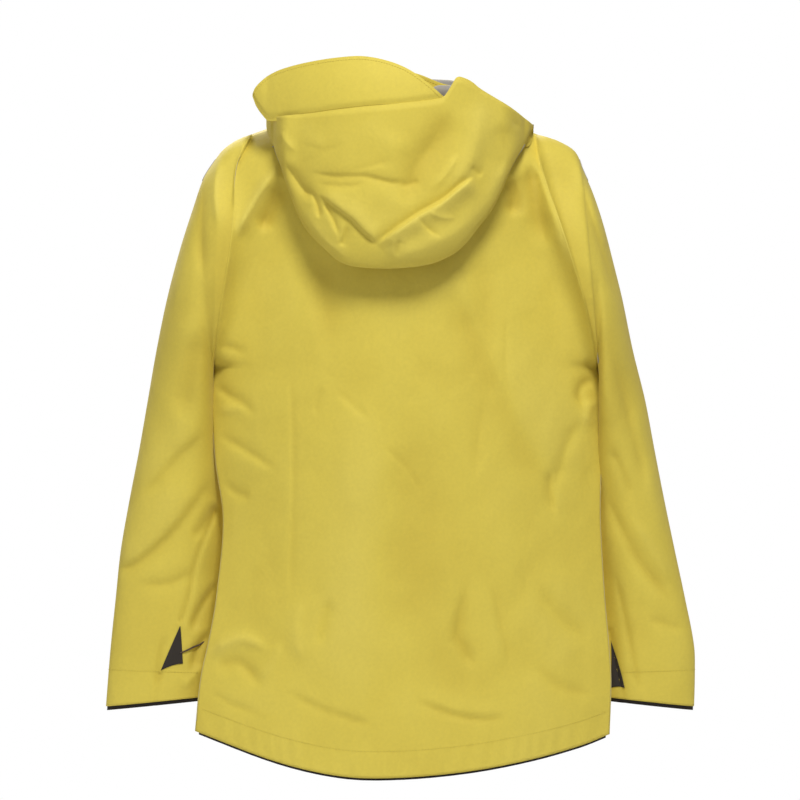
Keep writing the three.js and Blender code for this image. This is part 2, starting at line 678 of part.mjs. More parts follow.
// The same point on either side, lifted off the outer face along its normal.
function sleevePoint(flank, turn, v, lift) {
  const step = 0.01;
  const round = sleeveFace(turn + step, v).sub(sleeveFace(turn - step, v));
  const down = sleeveFace(turn, v + step).sub(sleeveFace(turn, Math.max(v - step, 0)));
  const point = sleeveFace(turn, v);
  if (v === 0) point.x = halfWidth(point.z) + SEAM;
  point.addScaledVector(round.cross(down).normalize(), -lift);
  point.x *= flank;
  return point;
}

const RING_HALF = 8; // cells over half a sleeve ring, as many as the armhole's rows
const SEAM_TURN = 0.012; // half of a sleeve seam's gap, as an angle
const TAB_FROM = -2.75;
const TAB_TO = -1.1;

for (const [flank, name] of [[1, "left"], [-1, "right"]]) {
  const half = (middle) =>
    sheet(RING_HALF, SLEEVE_ROWS, (u, v, w) => {
      const turn = middle + (2 * u - 1) * (QUARTER - SEAM_TURN);
      return sleevePoint(flank, turn, v, (w - 1) * CLOTH);
    });
  add(`${name}_sleeve_outer`, half(0), shell);
  add(`${name}_sleeve_under`, half(Math.PI), shell);
  const cuffShare = CUFF_FACING / INSEAM;
  const cuffEdge = 1 + BINDING / INSEAM;
  const facingBand = band(2 * RING_HALF, (turn, v, w) =>
    sleevePoint(flank, turn, mix(1 - cuffShare, cuffEdge, v), -CLOTH - FACING_CLEAR - FACING * w),
  );
  add(`${name}_cuff_facing`, facingBand, dark);
  const tabTop = 1 - (TAB_RISE + TAB_WIDTH) / INSEAM;
  const tabBottom = 1 - TAB_RISE / INSEAM;
  const tab = sheet(6, 1, (u, v, w) =>
    sleevePoint(
      flank,
      mix(TAB_FROM, TAB_TO, u),
      mix(tabBottom, tabTop, v),
      TAB_CLEAR + TAB_THICK * w,
    ),
  );
  add(`${name}_cuff_tab`, tab, shell);
  const gussetTop = 1 - (GUSSET_RISE + GUSSET_HEIGHT) / INSEAM;
  const gusset = sheet(1, 2, (u, v, w) => {
    const width = mix(2, GUSSET_WIDTH, v) / (CUFF_WIDTH / 2);
    const turn = QUARTER + 0.1 + width * u;
    const share = mix(gussetTop, 1 - GUSSET_RISE / INSEAM, v);
    return sleevePoint(flank, turn, share, TAB_CLEAR + GUSSET_THICK * w);
  });
  add(`${name}_wrist_gusset`, gusset, dark);
}

// ---- hood, hanging down the back as a bag that is open at the top ----

const hoodOuterTop = through([
  [-HOOD_HALF, NECK_Z - HOOD_SIDE_TOP],
  [-90, 6],
  [-62, 8],
  [-44, -6],
  [60, -12],
  [HOOD_HALF, NECK_Z - HOOD_SIDE_TOP],
]);

// The back panel's outer face at (x, z), rolled over at the neck.
function backFace(x, z) {
  const across = Math.min(Math.abs(x) / halfWidth(z), 1);
  const hemZ = SIDE_HEM_Z - BACK_TAIL * (1 - across ** SIDE_POINT);
  const share = clamp01((z - hemZ) / (topHeight(across * SHOULDER_HALF, 1) - hemZ));
  return torsoPoint(1, 1, 0, across, share, CLOTH).y;
}

const HOOD_ROWS = 16;

// A point of the hood: x across, v down the back from the neck seam, round and up the outside.
function hoodPoint(x, v, lift) {
  const round = Math.sqrt(Math.max(1 - (x / HOOD_HALF) ** 2, 0));
  const sideDrop = HOOD_SIDE_TOP + HOOD_SIDE_DEPTH;
  const bottom = NECK_Z - mix(sideDrop, HOOD_DROP, round ** 0.8);
  const inside = v < 0.5;
  const turn = QUARTER * (inside ? (2 * v) ** 1.7 : 2 * v);
  const wing = THREE.MathUtils.smoothstep(Math.abs(x), HOOD_WING_FROM, HOOD_WING_TO);
  const seam = topHeight(x, 1) + CLOTH + GAP + HOOD_SEAM_RISE - HOOD_WING_DROP * wing;
  const z = mix(inside ? seam : hoodOuterTop(x), bottom, Math.sin(turn) ** 0.75);
  const behindCollar = neckDepth(HOOD_NECK_EASE * x, 1, z) + 2 * CLOTH;
  const face = Math.max(behindCollar, backFace(x, (inside ? z : bottom) - HOOD_SEAM_RISE));
  const rest = face + SEAM / 2 + CLOTH + HOOD_CLEAR ;
  const bulge = mix(HOOD_EDGE_BULGE, HOOD_BULGE, round);
  const y = rest + (bulge * (1 - Math.cos(turn))) / 2;
  const out = new THREE.Vector3(0, -Math.cos(turn), -Math.sin(turn));
  return new THREE.Vector3(x, y, z).addScaledVector(out, lift);
}
const hoodStrip = (from, to, columns) =>
  sheet(columns, HOOD_ROWS, (u, v, w) => hoodPoint(mix(from, to, u), v, w * CLOTH));
const seamHalf = SEAM / 2;
const hoodEdge = HOOD_HALF - 4;
const hood = new THREE.Group();
garment.add(hood);
add("hood_centre", hoodStrip(-HOOD_CENTRE_HALF, HOOD_CENTRE_HALF, 6), shell);
add("hood_left", hoodStrip(HOOD_CENTRE_HALF + seamHalf * 2, hoodEdge, 5), shell);
add("hood_right", hoodStrip(-hoodEdge, -HOOD_CENTRE_HALF - seamHalf * 2, 5), shell);


// ---- brim over the hood's outer edge, with its stiffener behind ----

const brimHeight = (share) => BRIM_HEIGHT * (1 - Math.abs(share) ** 2.4);
function brimPoint(u, v, lift) {
  const share = 2 * u - 1;
  const x = BRIM_SHIFT + BRIM_HALF * share;
  const seat = Math.min(x, hoodEdge);
  const edge = hoodPoint(seat, 1, 0);
  const rise = BRIM_CLEAR + brimHeight(share) * v + BRIM_TILT * (x - seat);
  return new THREE.Vector3(x, edge.y + lift - 0.12 * brimHeight(share) * v * v, edge.z + rise);
}
const brimSheet = (inset, low, high, inner, outer) =>
  sheet(12, 3, (u, v, w) =>
    brimPoint(mix(inset, 1 - inset, u), mix(low, high, v), mix(inner, outer, w)),
  );
add("hood_brim", brimSheet(0.02, 0, 1, 0, BRIM_THICK), shell, hood);
add("brim_stiffener", brimSheet(0.18, 0.12, 0.85, -BRIM_CLEAR - STIFFENER, -BRIM_CLEAR), backer, hood);

// ---- hem cord locks, sewn inside the back hem, each with a sprung plunger in a bored barrel ----

for (const [flank, name] of [[1, "left"], [-1, "right"]]) {
  const lock = new THREE.Group();
  const across = LOCK_X / HEM_HALF;
  const seat = torsoPoint(flank, 1, 0, across, LOCK_RISE / SIDE_LENGTH, -GAP);
  lock.position.set(seat.x, seat.y - LOCK_RADIUS - LOCK_SEAT_CLEAR, seat.z);
  garment.add(lock);
  const barrel = rod(LOCK_RADIUS, LOCK_HEIGHT, 14).rotateY(QUARTER);
  const bore = rod(LOCK_RADIUS - LOCK_WALL, LOCK_HEIGHT, 14).rotateY(QUARTER);
  bore.translate(0, 0, LOCK_WALL + PLUNGER_TRAVEL);
  add(`${name}_hem_lock`, cut(barrel, bore), plastic, lock);
  const stem = LOCK_HEIGHT - LOCK_WALL - 2 * PLUNGER_TRAVEL - GAP + PLUNGER_PROUD;
  const plunger = rod(LOCK_RADIUS - LOCK_WALL - GAP, stem, 12).rotateY(QUARTER);
  plunger.translate(0, 0, LOCK_HEIGHT / 2 + PLUNGER_PROUD - stem / 2);
  add(`${name}_hem_plunger`, plunger, plastic, lock);
}

// ---- pull cord of the left wrist gusset, sewn down at both ends ----

const cordAt = (turn, rise, lift) =>
  sleevePoint(1, turn, 1 - rise / INSEAM, VENT_CORD / 2 + GAP + lift);
const cordRoute = new THREE.CatmullRomCurve3([
  cordAt(QUARTER + 0.42, 60, 0.2),
  cordAt(QUARTER + 0.6, 66, 1.2),
  cordAt(QUARTER + 0.78, 70, 1.6),
  cordAt(QUARTER + 0.96, 74, 1.2),
  cordAt(QUARTER + 1.14, 76, 0.2),
]);
const cordSection = new THREE.Shape().absarc(0, 0, VENT_CORD / 2, 0, 2 * Math.PI);
const cord = new THREE.ExtrudeGeometry(cordSection, {
  extrudePath: cordRoute,
  steps: 10,
  curveSegments: 4,
  bevelEnabled: false,
});
add("left_wrist_cord", cord, backer);

export default jacket;
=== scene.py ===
"""Looks of a hanging hardshell jacket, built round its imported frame.

Lengths in this file are millimetres in the garment's own frame, whose y = 0 is the plane of the side
seams; a mesh is turned into metres in the row frame when it is made. +Z is up, the wearer faces -Y and
the wearer's left is +X.
"""

import logging
import math
from dataclasses import dataclass, field
from enum import Enum
from typing import Callable, Sequence

import bmesh
import bpy
import numpy as np
from mathutils import Matrix, Vector


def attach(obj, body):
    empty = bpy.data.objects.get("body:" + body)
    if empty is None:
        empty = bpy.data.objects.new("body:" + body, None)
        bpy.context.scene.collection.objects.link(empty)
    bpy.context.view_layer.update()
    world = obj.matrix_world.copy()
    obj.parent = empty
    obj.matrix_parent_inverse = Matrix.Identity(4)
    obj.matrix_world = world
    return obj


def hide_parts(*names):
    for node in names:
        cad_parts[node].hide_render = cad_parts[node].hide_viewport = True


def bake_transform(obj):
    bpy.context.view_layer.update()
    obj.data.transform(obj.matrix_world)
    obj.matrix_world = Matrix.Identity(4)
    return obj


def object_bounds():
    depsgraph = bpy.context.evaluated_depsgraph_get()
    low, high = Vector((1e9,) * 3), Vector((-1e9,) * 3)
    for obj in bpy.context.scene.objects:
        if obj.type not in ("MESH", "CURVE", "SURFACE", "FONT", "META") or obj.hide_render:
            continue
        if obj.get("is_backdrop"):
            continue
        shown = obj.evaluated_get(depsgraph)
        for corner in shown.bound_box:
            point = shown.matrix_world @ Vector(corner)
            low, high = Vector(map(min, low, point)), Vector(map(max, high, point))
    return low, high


log = logging.getLogger("jacket")
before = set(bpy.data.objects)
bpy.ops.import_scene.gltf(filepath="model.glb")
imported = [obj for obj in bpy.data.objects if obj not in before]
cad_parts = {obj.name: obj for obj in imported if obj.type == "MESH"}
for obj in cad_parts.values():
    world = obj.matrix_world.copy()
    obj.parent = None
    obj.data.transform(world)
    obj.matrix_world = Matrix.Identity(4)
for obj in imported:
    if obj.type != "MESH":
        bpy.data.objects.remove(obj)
CAD_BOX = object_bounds()

MM = 0.001
LOOP_Y = 42.0  # the locker loop lies this far behind the plane of the side seams
Array = np.ndarray
Surface = Callable[[Array, Array], Array]


# ---------------------------------------------------------------- curves, folds and surfaces


def through(*points: tuple[float, float]) -> Callable[[Array], Array]:
    """Make a smooth curve through points with rising places.

    Args:
        points: (place, value) pairs.

    Returns:
        A function from an array of places to an array of values.
    """
    places = np.array([p[0] for p in points], float)
    values = np.array([p[1] for p in points], float)
    last = len(points) - 1
    index = np.arange(len(points))
    before, after = np.maximum(index - 1, 0), np.minimum(index + 1, last)
    slopes = (values[after] - values[before]) / (places[after] - places[before])

    def read(place: Array) -> Array:
        i = np.clip(np.searchsorted(places, place, side="right") - 1, 0, last - 1)
        span = places[i + 1] - places[i]
        k = np.clip((place - places[i]) / span, 0, 1)
        held = values[i] * (1 + 2 * k) * (1 - k) ** 2 + values[i + 1] * k * k * (3 - 2 * k)
        bend = slopes[i] * k * (1 - k) ** 2 - slopes[i + 1] * k * k * (1 - k)
        return held + span * bend

    return read


def mix(a: Array, b: Array, share: Array) -> Array:
    """Blend a into b by share."""
    return a + (b - a) * share


def smooth(low: float, high: float, value: Array) -> Array:
    """Rise smoothly from 0 at low to 1 at high."""
    k = np.clip((value - low) / (high - low), 0, 1)
    return k * k * (3 - 2 * k)


@dataclass(frozen=True)
class Fold:
    """A ridge or valley in the cloth along a route in the x, z plane.

    Attributes:
        route: the (x, z) points that the fold's line passes through.
        width: distance from the line at which most of the fold is gone.
        height: how far it stands out, negative for a valley.
        crisp: exponent of its profile, near 1 for a pinched crease and 2 for a soft roll.
        ends: share of the length over which it fades in and out.
        ledge: how far the cloth to the left of the route stands out over the cloth to its right.
    """

    route: tuple[tuple[float, float], ...]
    width: float
    height: float
    crisp: float = 1.7
    ends: float = 0.3
    ledge: float = 0.0

    def lift(self, x: Array, z: Array) -> Array:
        """Return how far the fold lifts the cloth at each (x, z)."""
        points = np.array(self.route, float)
        steps = np.linspace(0, 1, len(points))
        fine = np.linspace(0, 1, 8 * (len(points) - 1) + 1)
        line_x = through(*zip(steps, points[:, 0]))(fine)
        line_z = through(*zip(steps, points[:, 1]))(fine)
        best = np.full(x.shape, 1e9)
        along, hand = np.zeros(x.shape), np.ones(x.shape)
        for i in range(len(fine) - 1):
            dx, dz = line_x[i + 1] - line_x[i], line_z[i + 1] - line_z[i]
            run = dx * dx + dz * dz + 1e-9
            k = np.clip(((x - line_x[i]) * dx + (z - line_z[i]) * dz) / run, 0, 1)
            far = np.hypot(x - line_x[i] - k * dx, z - line_z[i] - k * dz)
            nearer = far < best
            best = np.where(nearer, far, best)
            along = np.where(nearer, mix(fine[i], fine[i + 1], k), along)
            hand = np.where(nearer, np.sign(dx * (z - line_z[i]) - dz * (x - line_x[i])), hand)
        fade = smooth(0, self.ends, along + 0.02) * smooth(0, self.ends, 1.02 - along)
        narrow = self.width * (0.55 + 0.45 * fade)
        lift = self.height * fade * np.exp(-((best / narrow) ** self.crisp))
        if self.ledge:
            side = best * hand
            edge = 0.5 + 0.5 * np.tanh(side / (0.3 * self.width))
            far_side = np.maximum(side, 0) / (2.8 * self.width)
            lift = lift + self.ledge * fade * edge * np.exp(-(far_side**1.5))
        return lift


@dataclass(frozen=True)
class Drape:
    """All the folds of one side of a piece, over a slight unevenness of the cloth.

    Attributes:
        folds: the drawn folds.
        ripple: height of the unevenness.
        seed: shifts the unevenness from piece to piece.
        strength: scales every drawn fold.
    """

    folds: tuple[Fold, ...] = ()
    ripple: float = 0.9
    seed: float = 0.0
    strength: float = 1.0

    def lift(self, x: Array, z: Array) -> Array:
        """Return how far the cloth stands off its plain surface at each (x, z)."""
        total = self.ripple * uneven(x, z, self.seed)
        for fold in self.folds:
            total = total + self.strength * fold.lift(x, z)
        return total


def uneven(x: Array, z: Array, seed: float) -> Array:
    """Return a soft, non-repeating unevenness between about -1 and 1, with a few sharper lines in it."""
    total = np.zeros(np.broadcast(x, z).shape)
    for k, (length, share) in enumerate(((96, 0.30), (61, 0.22), (38, 0.14))):
        turn = 0.9 + 2.3 * k + 1.7 * seed
        across = (x * math.cos(turn) + 0.8 * z * math.sin(turn)) / length
        down = (z * math.cos(turn) - x * math.sin(turn)) / length
        bend = 1.1 * np.sin(0.7 * down + k) + 0.8 * np.sin(1.9 * down + seed)
        wave = np.abs(np.sin(math.pi * across + bend))
        where = smooth(0.1, 0.9, 0.5 + 0.5 * np.sin(1.1 * down - 0.8 * across + 2.0 * seed + k))
        total = total + share * where * (wave - 0.64)
    for k, (length, share) in enumerate(((150, 0.5), (83, 0.3), (47, 0.16), (29, 0.09))):
        turn = 0.55 + 1.9 * k + seed
        across = (x * math.cos(turn) + 0.62 * z * math.sin(turn)) / length
        down = (0.62 * z * math.cos(turn) - x * math.sin(turn)) / length
        bend = 0.8 * np.sin(2.1 * down + 1.3 * k + seed)
        total = total + share * np.sin(2 * math.pi * across + bend) * np.cos(math.pi * down + seed)
    return total


# ---------------------------------------------------------------- mesh making


def to_row(points: Array) -> Array:
    """Turn garment points in millimetres into row-frame points in metres."""
    return (points - np.array([0.0, LOOP_Y, 0.0])) * MM


def finish_mesh(
    name: str, bm: bmesh.types.BMesh, materials: Sequence[bpy.types.Material],
) -> bpy.types.Object:
    """Make an object of a bmesh and free the bmesh.

    Args:
        name: the piece's name.
        bm: the finished bmesh, in metres.
        materials: one material for each slot.

    Returns:
        The new object.
    """
    mesh = bpy.data.meshes.new(name)
    for face in bm.faces:
        face.smooth = True
    bm.to_mesh(mesh)
    bm.free()
    piece = bpy.data.objects.new(name, mesh)
    bpy.context.scene.collection.objects.link(piece)
    for material in materials:
        mesh.materials.append(material)
    return piece


def loft(
    name: str,
    columns: int,
    rows: int,
    surface: Surface,
    materials: Sequence[bpy.types.Material],
    closed: bool = False,
    size: tuple[float, float] = (1.0, 1.0),
    outward: Vector | None = None,
) -> bpy.types.Object:
    """Lay a fine grid on a surface.

    Args:
        name: the piece's name.
        columns: cells across.
        rows: cells along.
        surface: takes arrays of the two shares and returns garment points.
        materials: the piece's materials.
        closed: whether the first and last columns meet.
        size: the cloth's width and length in metres, for its UV map.
        outward: a row-frame point inside the piece, which its faces turn away from.

    Returns:
        The new object, one layer thick.
    """
    bm = bmesh.new()
    bmesh.ops.create_grid(bm, x_segments=columns, y_segments=rows, size=0.5)
    share = np.array([v.co[:2] for v in bm.verts]) + 0.5
    layer = bm.loops.layers.uv.new("cloth")
    for face in bm.faces:
        for loop in face.loops:
            loop[layer].uv = (
                (loop.vert.co.x + 0.5) * size[0],
                (loop.vert.co.y + 0.5) * size[1],
            )
    place = to_row(surface(np.clip(share[:, 0], 0, 1), np.clip(share[:, 1], 0, 1)))
    for vert, point in zip(bm.verts, place):
        vert.co = point
    if closed:
        bmesh.ops.remove_doubles(bm, verts=bm.verts, dist=1e-6)
    bm.normal_update()
    if outward is not None:
        votes = sum(f.normal.dot(f.calc_center_median() - outward) * f.calc_area() for f in bm.faces)
        if votes < 0:
            bmesh.ops.reverse_faces(bm, faces=bm.faces)
    return finish_mesh(name, bm, materials)


def thicken(piece: bpy.types.Object, thickness: float, offset: float = -1.0, inside: int = 1) -> None:
    """Give a one-layer piece its thickness, with its last material on the inside."""
    solid = piece.modifiers.new("cloth", "SOLIDIFY")
    solid.thickness = thickness
    solid.offset = offset
    solid.material_offset = inside if len(piece.data.materials) > 1 else 0
    solid.material_offset_rim = 0
    solid.use_even_offset = False


def locate(surface: Surface, x: float, z: float, low: Array, high: Array) -> tuple[float, float]:
    """Find the shares at which a surface passes (x, z).

    Args:
        surface: the surface to search.
        x: place across.
        z: height.
        low: lowest shares to search.
        high: highest shares to search.

    Returns:
        The two shares.
    """
    low, high = np.array(low, float), np.array(high, float)
    for _ in range(4):
        a, b = np.meshgrid(np.linspace(low[0], high[0], 31), np.linspace(low[1], high[1], 31))
        points = surface(a.ravel(), b.ravel())
        i = int(np.argmin(np.hypot(points[:, 0] - x, points[:, 2] - z)))
        best = np.array([a.ravel()[i], b.ravel()[i]])
        reach = (high - low) / 12
        low, high = best - reach, best + reach
    return float(best[0]), float(best[1])


# ---------------------------------------------------------------- sizes shared by the pieces


@dataclass(frozen=True)
class Cut:
    """The garment's main sizes."""

    neck_z: float = -9.0
    shoulder_z: float = -36.0
    pit_z: float = -300.0
    shoulder_half: float = 168.0
    armhole_half_depth: float = 66.0
    neck_half: float = 76.0
    neck_back_depth: float = 55.0
    back_depth: float = 86.0
    hem_back_depth: float = 70.0
    back_neck_drop: float = 4.0
    front_neck_drop: float = 40.0
    roll_height: float = 78.0
    side_point: float = 2.2
    zip_top: float = 43.0
    zip_top_depth: float = 57.0
    zip_slant: float = 0.018
    front_edge: float = 9.0
    cloth: float = 0.7


CUT = Cut()


class Side(Enum):
    """The wearer's two sides."""

    LEFT = 1
    RIGHT = -1

    @property
    def word(self) -> str:
        """The side's name as the frame writes it."""
        return self.name.lower()


# Half-widths of the body at its side seams, by height.
BODY_EDGE = {
    Side.LEFT: through(
        (-718, 235), (-658, 229), (-611, 219), (-565, 211), (-475, 203), (-407, 212), (-339, 216),
        (-294, 212), (-226, 203), (-170, 194), (-130, 190), (-73, 187), (-36, 170),
    ),
    Side.RIGHT: through(
        (-721, 238), (-658, 240), (-611, 237), (-565, 233), (-475, 228), (-407, 229), (-339, 230),
        (-294, 223), (-226, 208), (-170, 191), (-130, 178), (-73, 160), (-36, 155),
    ),
}
BACK_HEM = through(
    (-238, -720), (-205, -732), (-146, -747), (-78, -759), (0, -766), (65, -765), (138, -750), (236, -716),
)
FRONT_HEM = through((-238, -706), (-120, -714), (0, -716), (120, -713), (236, -705))


def zip_depth(z: Array) -> Array:
    """Return how far the zip line lies in front of the side seams."""
    return CUT.zip_top_depth + CUT.zip_slant * (CUT.zip_top - z)


def top_height(x: Array, back: bool) -> Array:
    """Return the height of the neckline and shoulder line at x."""
    reach = np.minimum(np.abs(x) / CUT.neck_half, 1)
    drop = CUT.back_neck_drop if back else CUT.front_neck_drop
    out = np.maximum(np.abs(x) - CUT.neck_half, 0) / (CUT.shoulder_half - CUT.neck_half)
    fall = (CUT.neck_z - CUT.shoulder_z) * out**1.25
    return CUT.neck_z - drop * (1 - reach**2) - fall


def neck_depth(x: Array, back: bool, z: Array) -> Array:
    """Return how far the neckline lies from the shoulder line."""
    reach = np.minimum(np.abs(x) / CUT.neck_half, 1)
    if back:
        return CUT.neck_back_depth * np.sqrt(1 - reach**2)
    return zip_depth(z) * (1 - reach**3) ** (1 / 3)


def seam_pinch(z: Array) -> Array:
    """Return how far the armhole's seam is drawn in at a height, below the shoulder."""
    return 11.0 * np.exp(-(((z + 96) / 34) ** 2)) * smooth(-38, -70, z)


def body_point(side: Side, back: bool, edge: float, across: Array, share: Array) -> Array:
    """Return points of the plain body, without folds.

    Args:
        side: the wearer's side.
        back: True on the back, False on the front.
        edge: distance of across = 0 from the middle.
        across: 0 at the edge and 1 at the side seam or armhole.
        share: 0 at the hem and 1 at the top.
    """
    flank = side.value
    corner = float((BACK_HEM if back else FRONT_HEM)(np.array(flank * 300.0)))
    side_z = mix(corner, CUT.shoulder_z, share)
    half = BODY_EDGE[side](side_z)
    x = mix(edge, half, across)
    top_x = mix(edge, CUT.shoulder_half, across)
    ratio = np.clip(x / half, 0, 1)
    body = 1 - ratio**CUT.side_point
    hem_half = BODY_EDGE[side](np.array(corner))
    hem_z = (BACK_HEM if back else FRONT_HEM)(flank * mix(edge, hem_half, across))
    top_z = top_height(top_x, back)
    z = mix(hem_z, top_z, share)
    up = np.clip((side_z - CUT.pit_z) / (CUT.shoulder_z - CUT.pit_z), 0, 1)
    rim = CUT.armhole_half_depth * 2 * np.sqrt(up * (1 - up)) - seam_pinch(side_z)
    back_middle = mix(CUT.hem_back_depth, CUT.back_depth, smooth(-700, -300, z))
    middle = back_middle if back else zip_depth(z)
    depth = middle * body + rim * ratio ** mix(14.0, CUT.side_point, smooth(0, 0.95, up))
    neck = neck_depth(top_x, back, top_z)
    above = np.clip((z - top_z + CUT.roll_height) / CUT.roll_height, 0, 1)
    over = above if back else above * np.clip(x / CUT.neck_half, 0, 1) ** 2
    rolled = mix(neck, depth, np.sqrt(1 - over**2))
    y = np.where(across < 1, rolled, rim)
    return np.stack([flank * x, y if back else -y, z], axis=-1)


def folded(points: Array, drape: Drape, hold: Array, back: bool) -> Array:
    """Push the cloth out of its plain surface by its folds.

    Args:
        points: points of the plain surface.
        drape: the folds.
        hold: 0 where the cloth is held and 1 where it is free.
        back: True where outwards is +y.
    """
    out = points.copy()
    lift = drape.lift(points[:, 0], points[:, 2]) * hold
    out[:, 1] += lift if back else -lift
    return out


def normals(surface: Surface, u: Array, v: Array, inside: Array) -> Array:
    """Return a surface's unit normals, on the side away from a point.

    Args:
        surface: the surface.
        u: first shares.
        v: second shares.
        inside: garment point that the normals turn away from, on the whole.
    """
    step = 2e-3
    across = surface(np.clip(u + step, 0, 1), v) - surface(np.clip(u - step, 0, 1), v)
    along = surface(u, np.clip(v + step, 0, 1)) - surface(u, np.clip(v - step, 0, 1))
    normal = np.cross(across, along)
    normal /= np.linalg.norm(normal, axis=1, keepdims=True) + 1e-12
    votes = np.sum(normal * (surface(u, v) - inside))
    return normal if votes > 0 else -normal


def lifted(surface: Surface, lift: float, inside: Sequence[float]) -> Surface:
    """Return a surface that stands off another by a set distance, away from a point."""

    def raised(u: Array, v: Array) -> Array:
        return surface(u, v) + lift * normals(surface, u, v, np.array(inside))

    return raised


def part_of(surface: Surface, u_from: float, u_to: float, v_from: float, v_to: float) -> Surface:
    """Return the part of a surface between two shares each way, as a surface of its own."""

    def piece(u: Array, v: Array) -> Array:
        return surface(mix(u_from, u_to, u), mix(v_from, v_to, v))

    return piece


# ---------------------------------------------------------------- nodes and finishes


class Graph:
    """A short way to lay out the nodes of one tree."""

    def __init__(self, tree: bpy.types.NodeTree) -> None:
        """Work on a tree."""
        self.tree = tree

    def node(self, kind: str, settings: dict | None = None, **sockets) -> bpy.types.Node:
        """Add a node.

        Args:
            kind: its type.
            settings: its own properties.
            **sockets: a value or another node's output for each named input, with _ for a space
                and i0, i1 for inputs by number.

        Returns:
            The node.
        """
        node = self.tree.nodes.new(kind)
        for key, value in (settings or {}).items():
            setattr(node, key, value)
        for key, value in sockets.items():
            numbered = key[0] == "i" and key[1:].isdigit()
            socket = node.inputs[int(key[1:])] if numbered else node.inputs[key.replace("_", " ")]
            if isinstance(value, bpy.types.NodeSocket):
                self.tree.links.new(value, socket)
            else:
                socket.default_value = value
        return node

    def maths(self, operation: str, *values: object) -> bpy.types.NodeSocket:
        """Add a Math node on one to three values and return its output."""
        sockets = {f"i{k}": value for k, value in enumerate(values)}
        return self.node("ShaderNodeMath", {"operation": operation}, **sockets).outputs[0]

    def blend(self, share: object, a: object, b: object, how: str = "MIX") -> bpy.types.NodeSocket:
        """Mix two colours and return the result."""
        settings = {"data_type": "RGBA", "blend_type": how, "clamp_factor": True}
        return self.node("ShaderNodeMix", settings, i0=share, i6=a, i7=b).outputs[2]


def group(name: str, inputs: dict[str, tuple[str, object]], outputs: dict[str, str]) -> tuple:
    """Start a shader node group.

    Args:
        name: the group's name.
        inputs: socket kind and default for each input.
        outputs: socket kind for each output.

    Returns:
        The tree, its graph, its input node and its output node.
    """
    tree = bpy.data.node_groups.new(name, "ShaderNodeTree")
    for label, (kind, value) in inputs.items():
        socket = tree.interface.new_socket(label, in_out="INPUT", socket_type=f"NodeSocket{kind}")
        if value is not None:
            socket.default_value = value
    for label, kind in outputs.items():
        tree.interface.new_socket(label, in_out="OUTPUT", socket_type=f"NodeSocket{kind}")
    graph = Graph(tree)
    return tree, graph, graph.node("NodeGroupInput"), graph.node("NodeGroupOutput")


def weave_group() -> bpy.types.NodeTree:
    """Make the weave: threads over and under each other, with a slight slub."""
    tree, g, start, end = group(
        "Woven threads",
        {"Vector": ("Vector", None), "Threads": ("Float", 1100.0), "Slub": ("Float", 0.3)},
        {"Height": "Float", "Thread": "Float"},
    )
    axes = g.node("ShaderNodeSeparateXYZ", Vector=start.outputs["Vector"])
    turns = g.maths("MULTIPLY", start.outputs["Threads"], 2 * math.pi)
    warp = g.maths("SINE", g.maths("MULTIPLY", axes.outputs[0], turns))
    weft = g.maths("SINE", g.maths("MULTIPLY", axes.outputs[1], turns))
    crossing = g.maths("MULTIPLY_ADD", g.maths("MULTIPLY", warp, weft), 0.5, 0.5)
    slub = g.node("ShaderNodeTexNoise", Vector=start.outputs["Vector"], Scale=420.0, Detail=2.0)
    uneven_part = g.maths("MULTIPLY", slub.outputs[0], start.outputs["Slub"])
    g.tree.links.new(g.maths("ADD", crossing, uneven_part), end.inputs["Height"])
    g.tree.links.new(crossing, end.inputs["Thread"])
    return tree


def crumple_group() -> bpy.types.NodeTree:
    """Make the cloth's small creases: soft dents, and patches of facets with sharp lines between them."""
    tree, g, start, end = group(
        "Small creases",
        {"Vector": ("Vector", None), "Size": ("Float", 22.0), "Facets": ("Float", 0.5)},
        {"Height": "Float"},
    )
    size, place = start.outputs["Size"], start.outputs["Vector"]
    dents = g.node("ShaderNodeTexNoise", Vector=place, Scale=size, Detail=3.0, Roughness=0.5, Distortion=0.6)
    pull = g.node("ShaderNodeTexNoise", Vector=place, Scale=g.maths("MULTIPLY", size, 0.45), Detail=2.0)
    pulled = g.node(
        "ShaderNodeVectorMath", {"operation": "MULTIPLY_ADD"}, i0=pull.outputs[1], i1=(0.07, 0.07, 0.07),
        i2=place,
    )
    facets = g.node("ShaderNodeTexVoronoi", Vector=pulled.outputs[0], Scale=g.maths("MULTIPLY", size, 1.1))
    patches = g.node("ShaderNodeTexNoise", Vector=place, Scale=g.maths("MULTIPLY", size, 0.35), Detail=1.0)
    patch = g.maths("MAXIMUM", g.maths("MULTIPLY_ADD", patches.outputs[0], 5.0, -2.2), 0.0)
    where = g.maths("SMOOTH_MIN", patch, 1.0, 0.2)
    sharp = g.maths("MULTIPLY", g.maths("MULTIPLY", facets.outputs[0], where), start.outputs["Facets"])
    g.tree.links.new(g.maths("ADD", g.maths("MULTIPLY", dents.outputs[0], 0.6), sharp), end.inputs["Height"])
    return tree


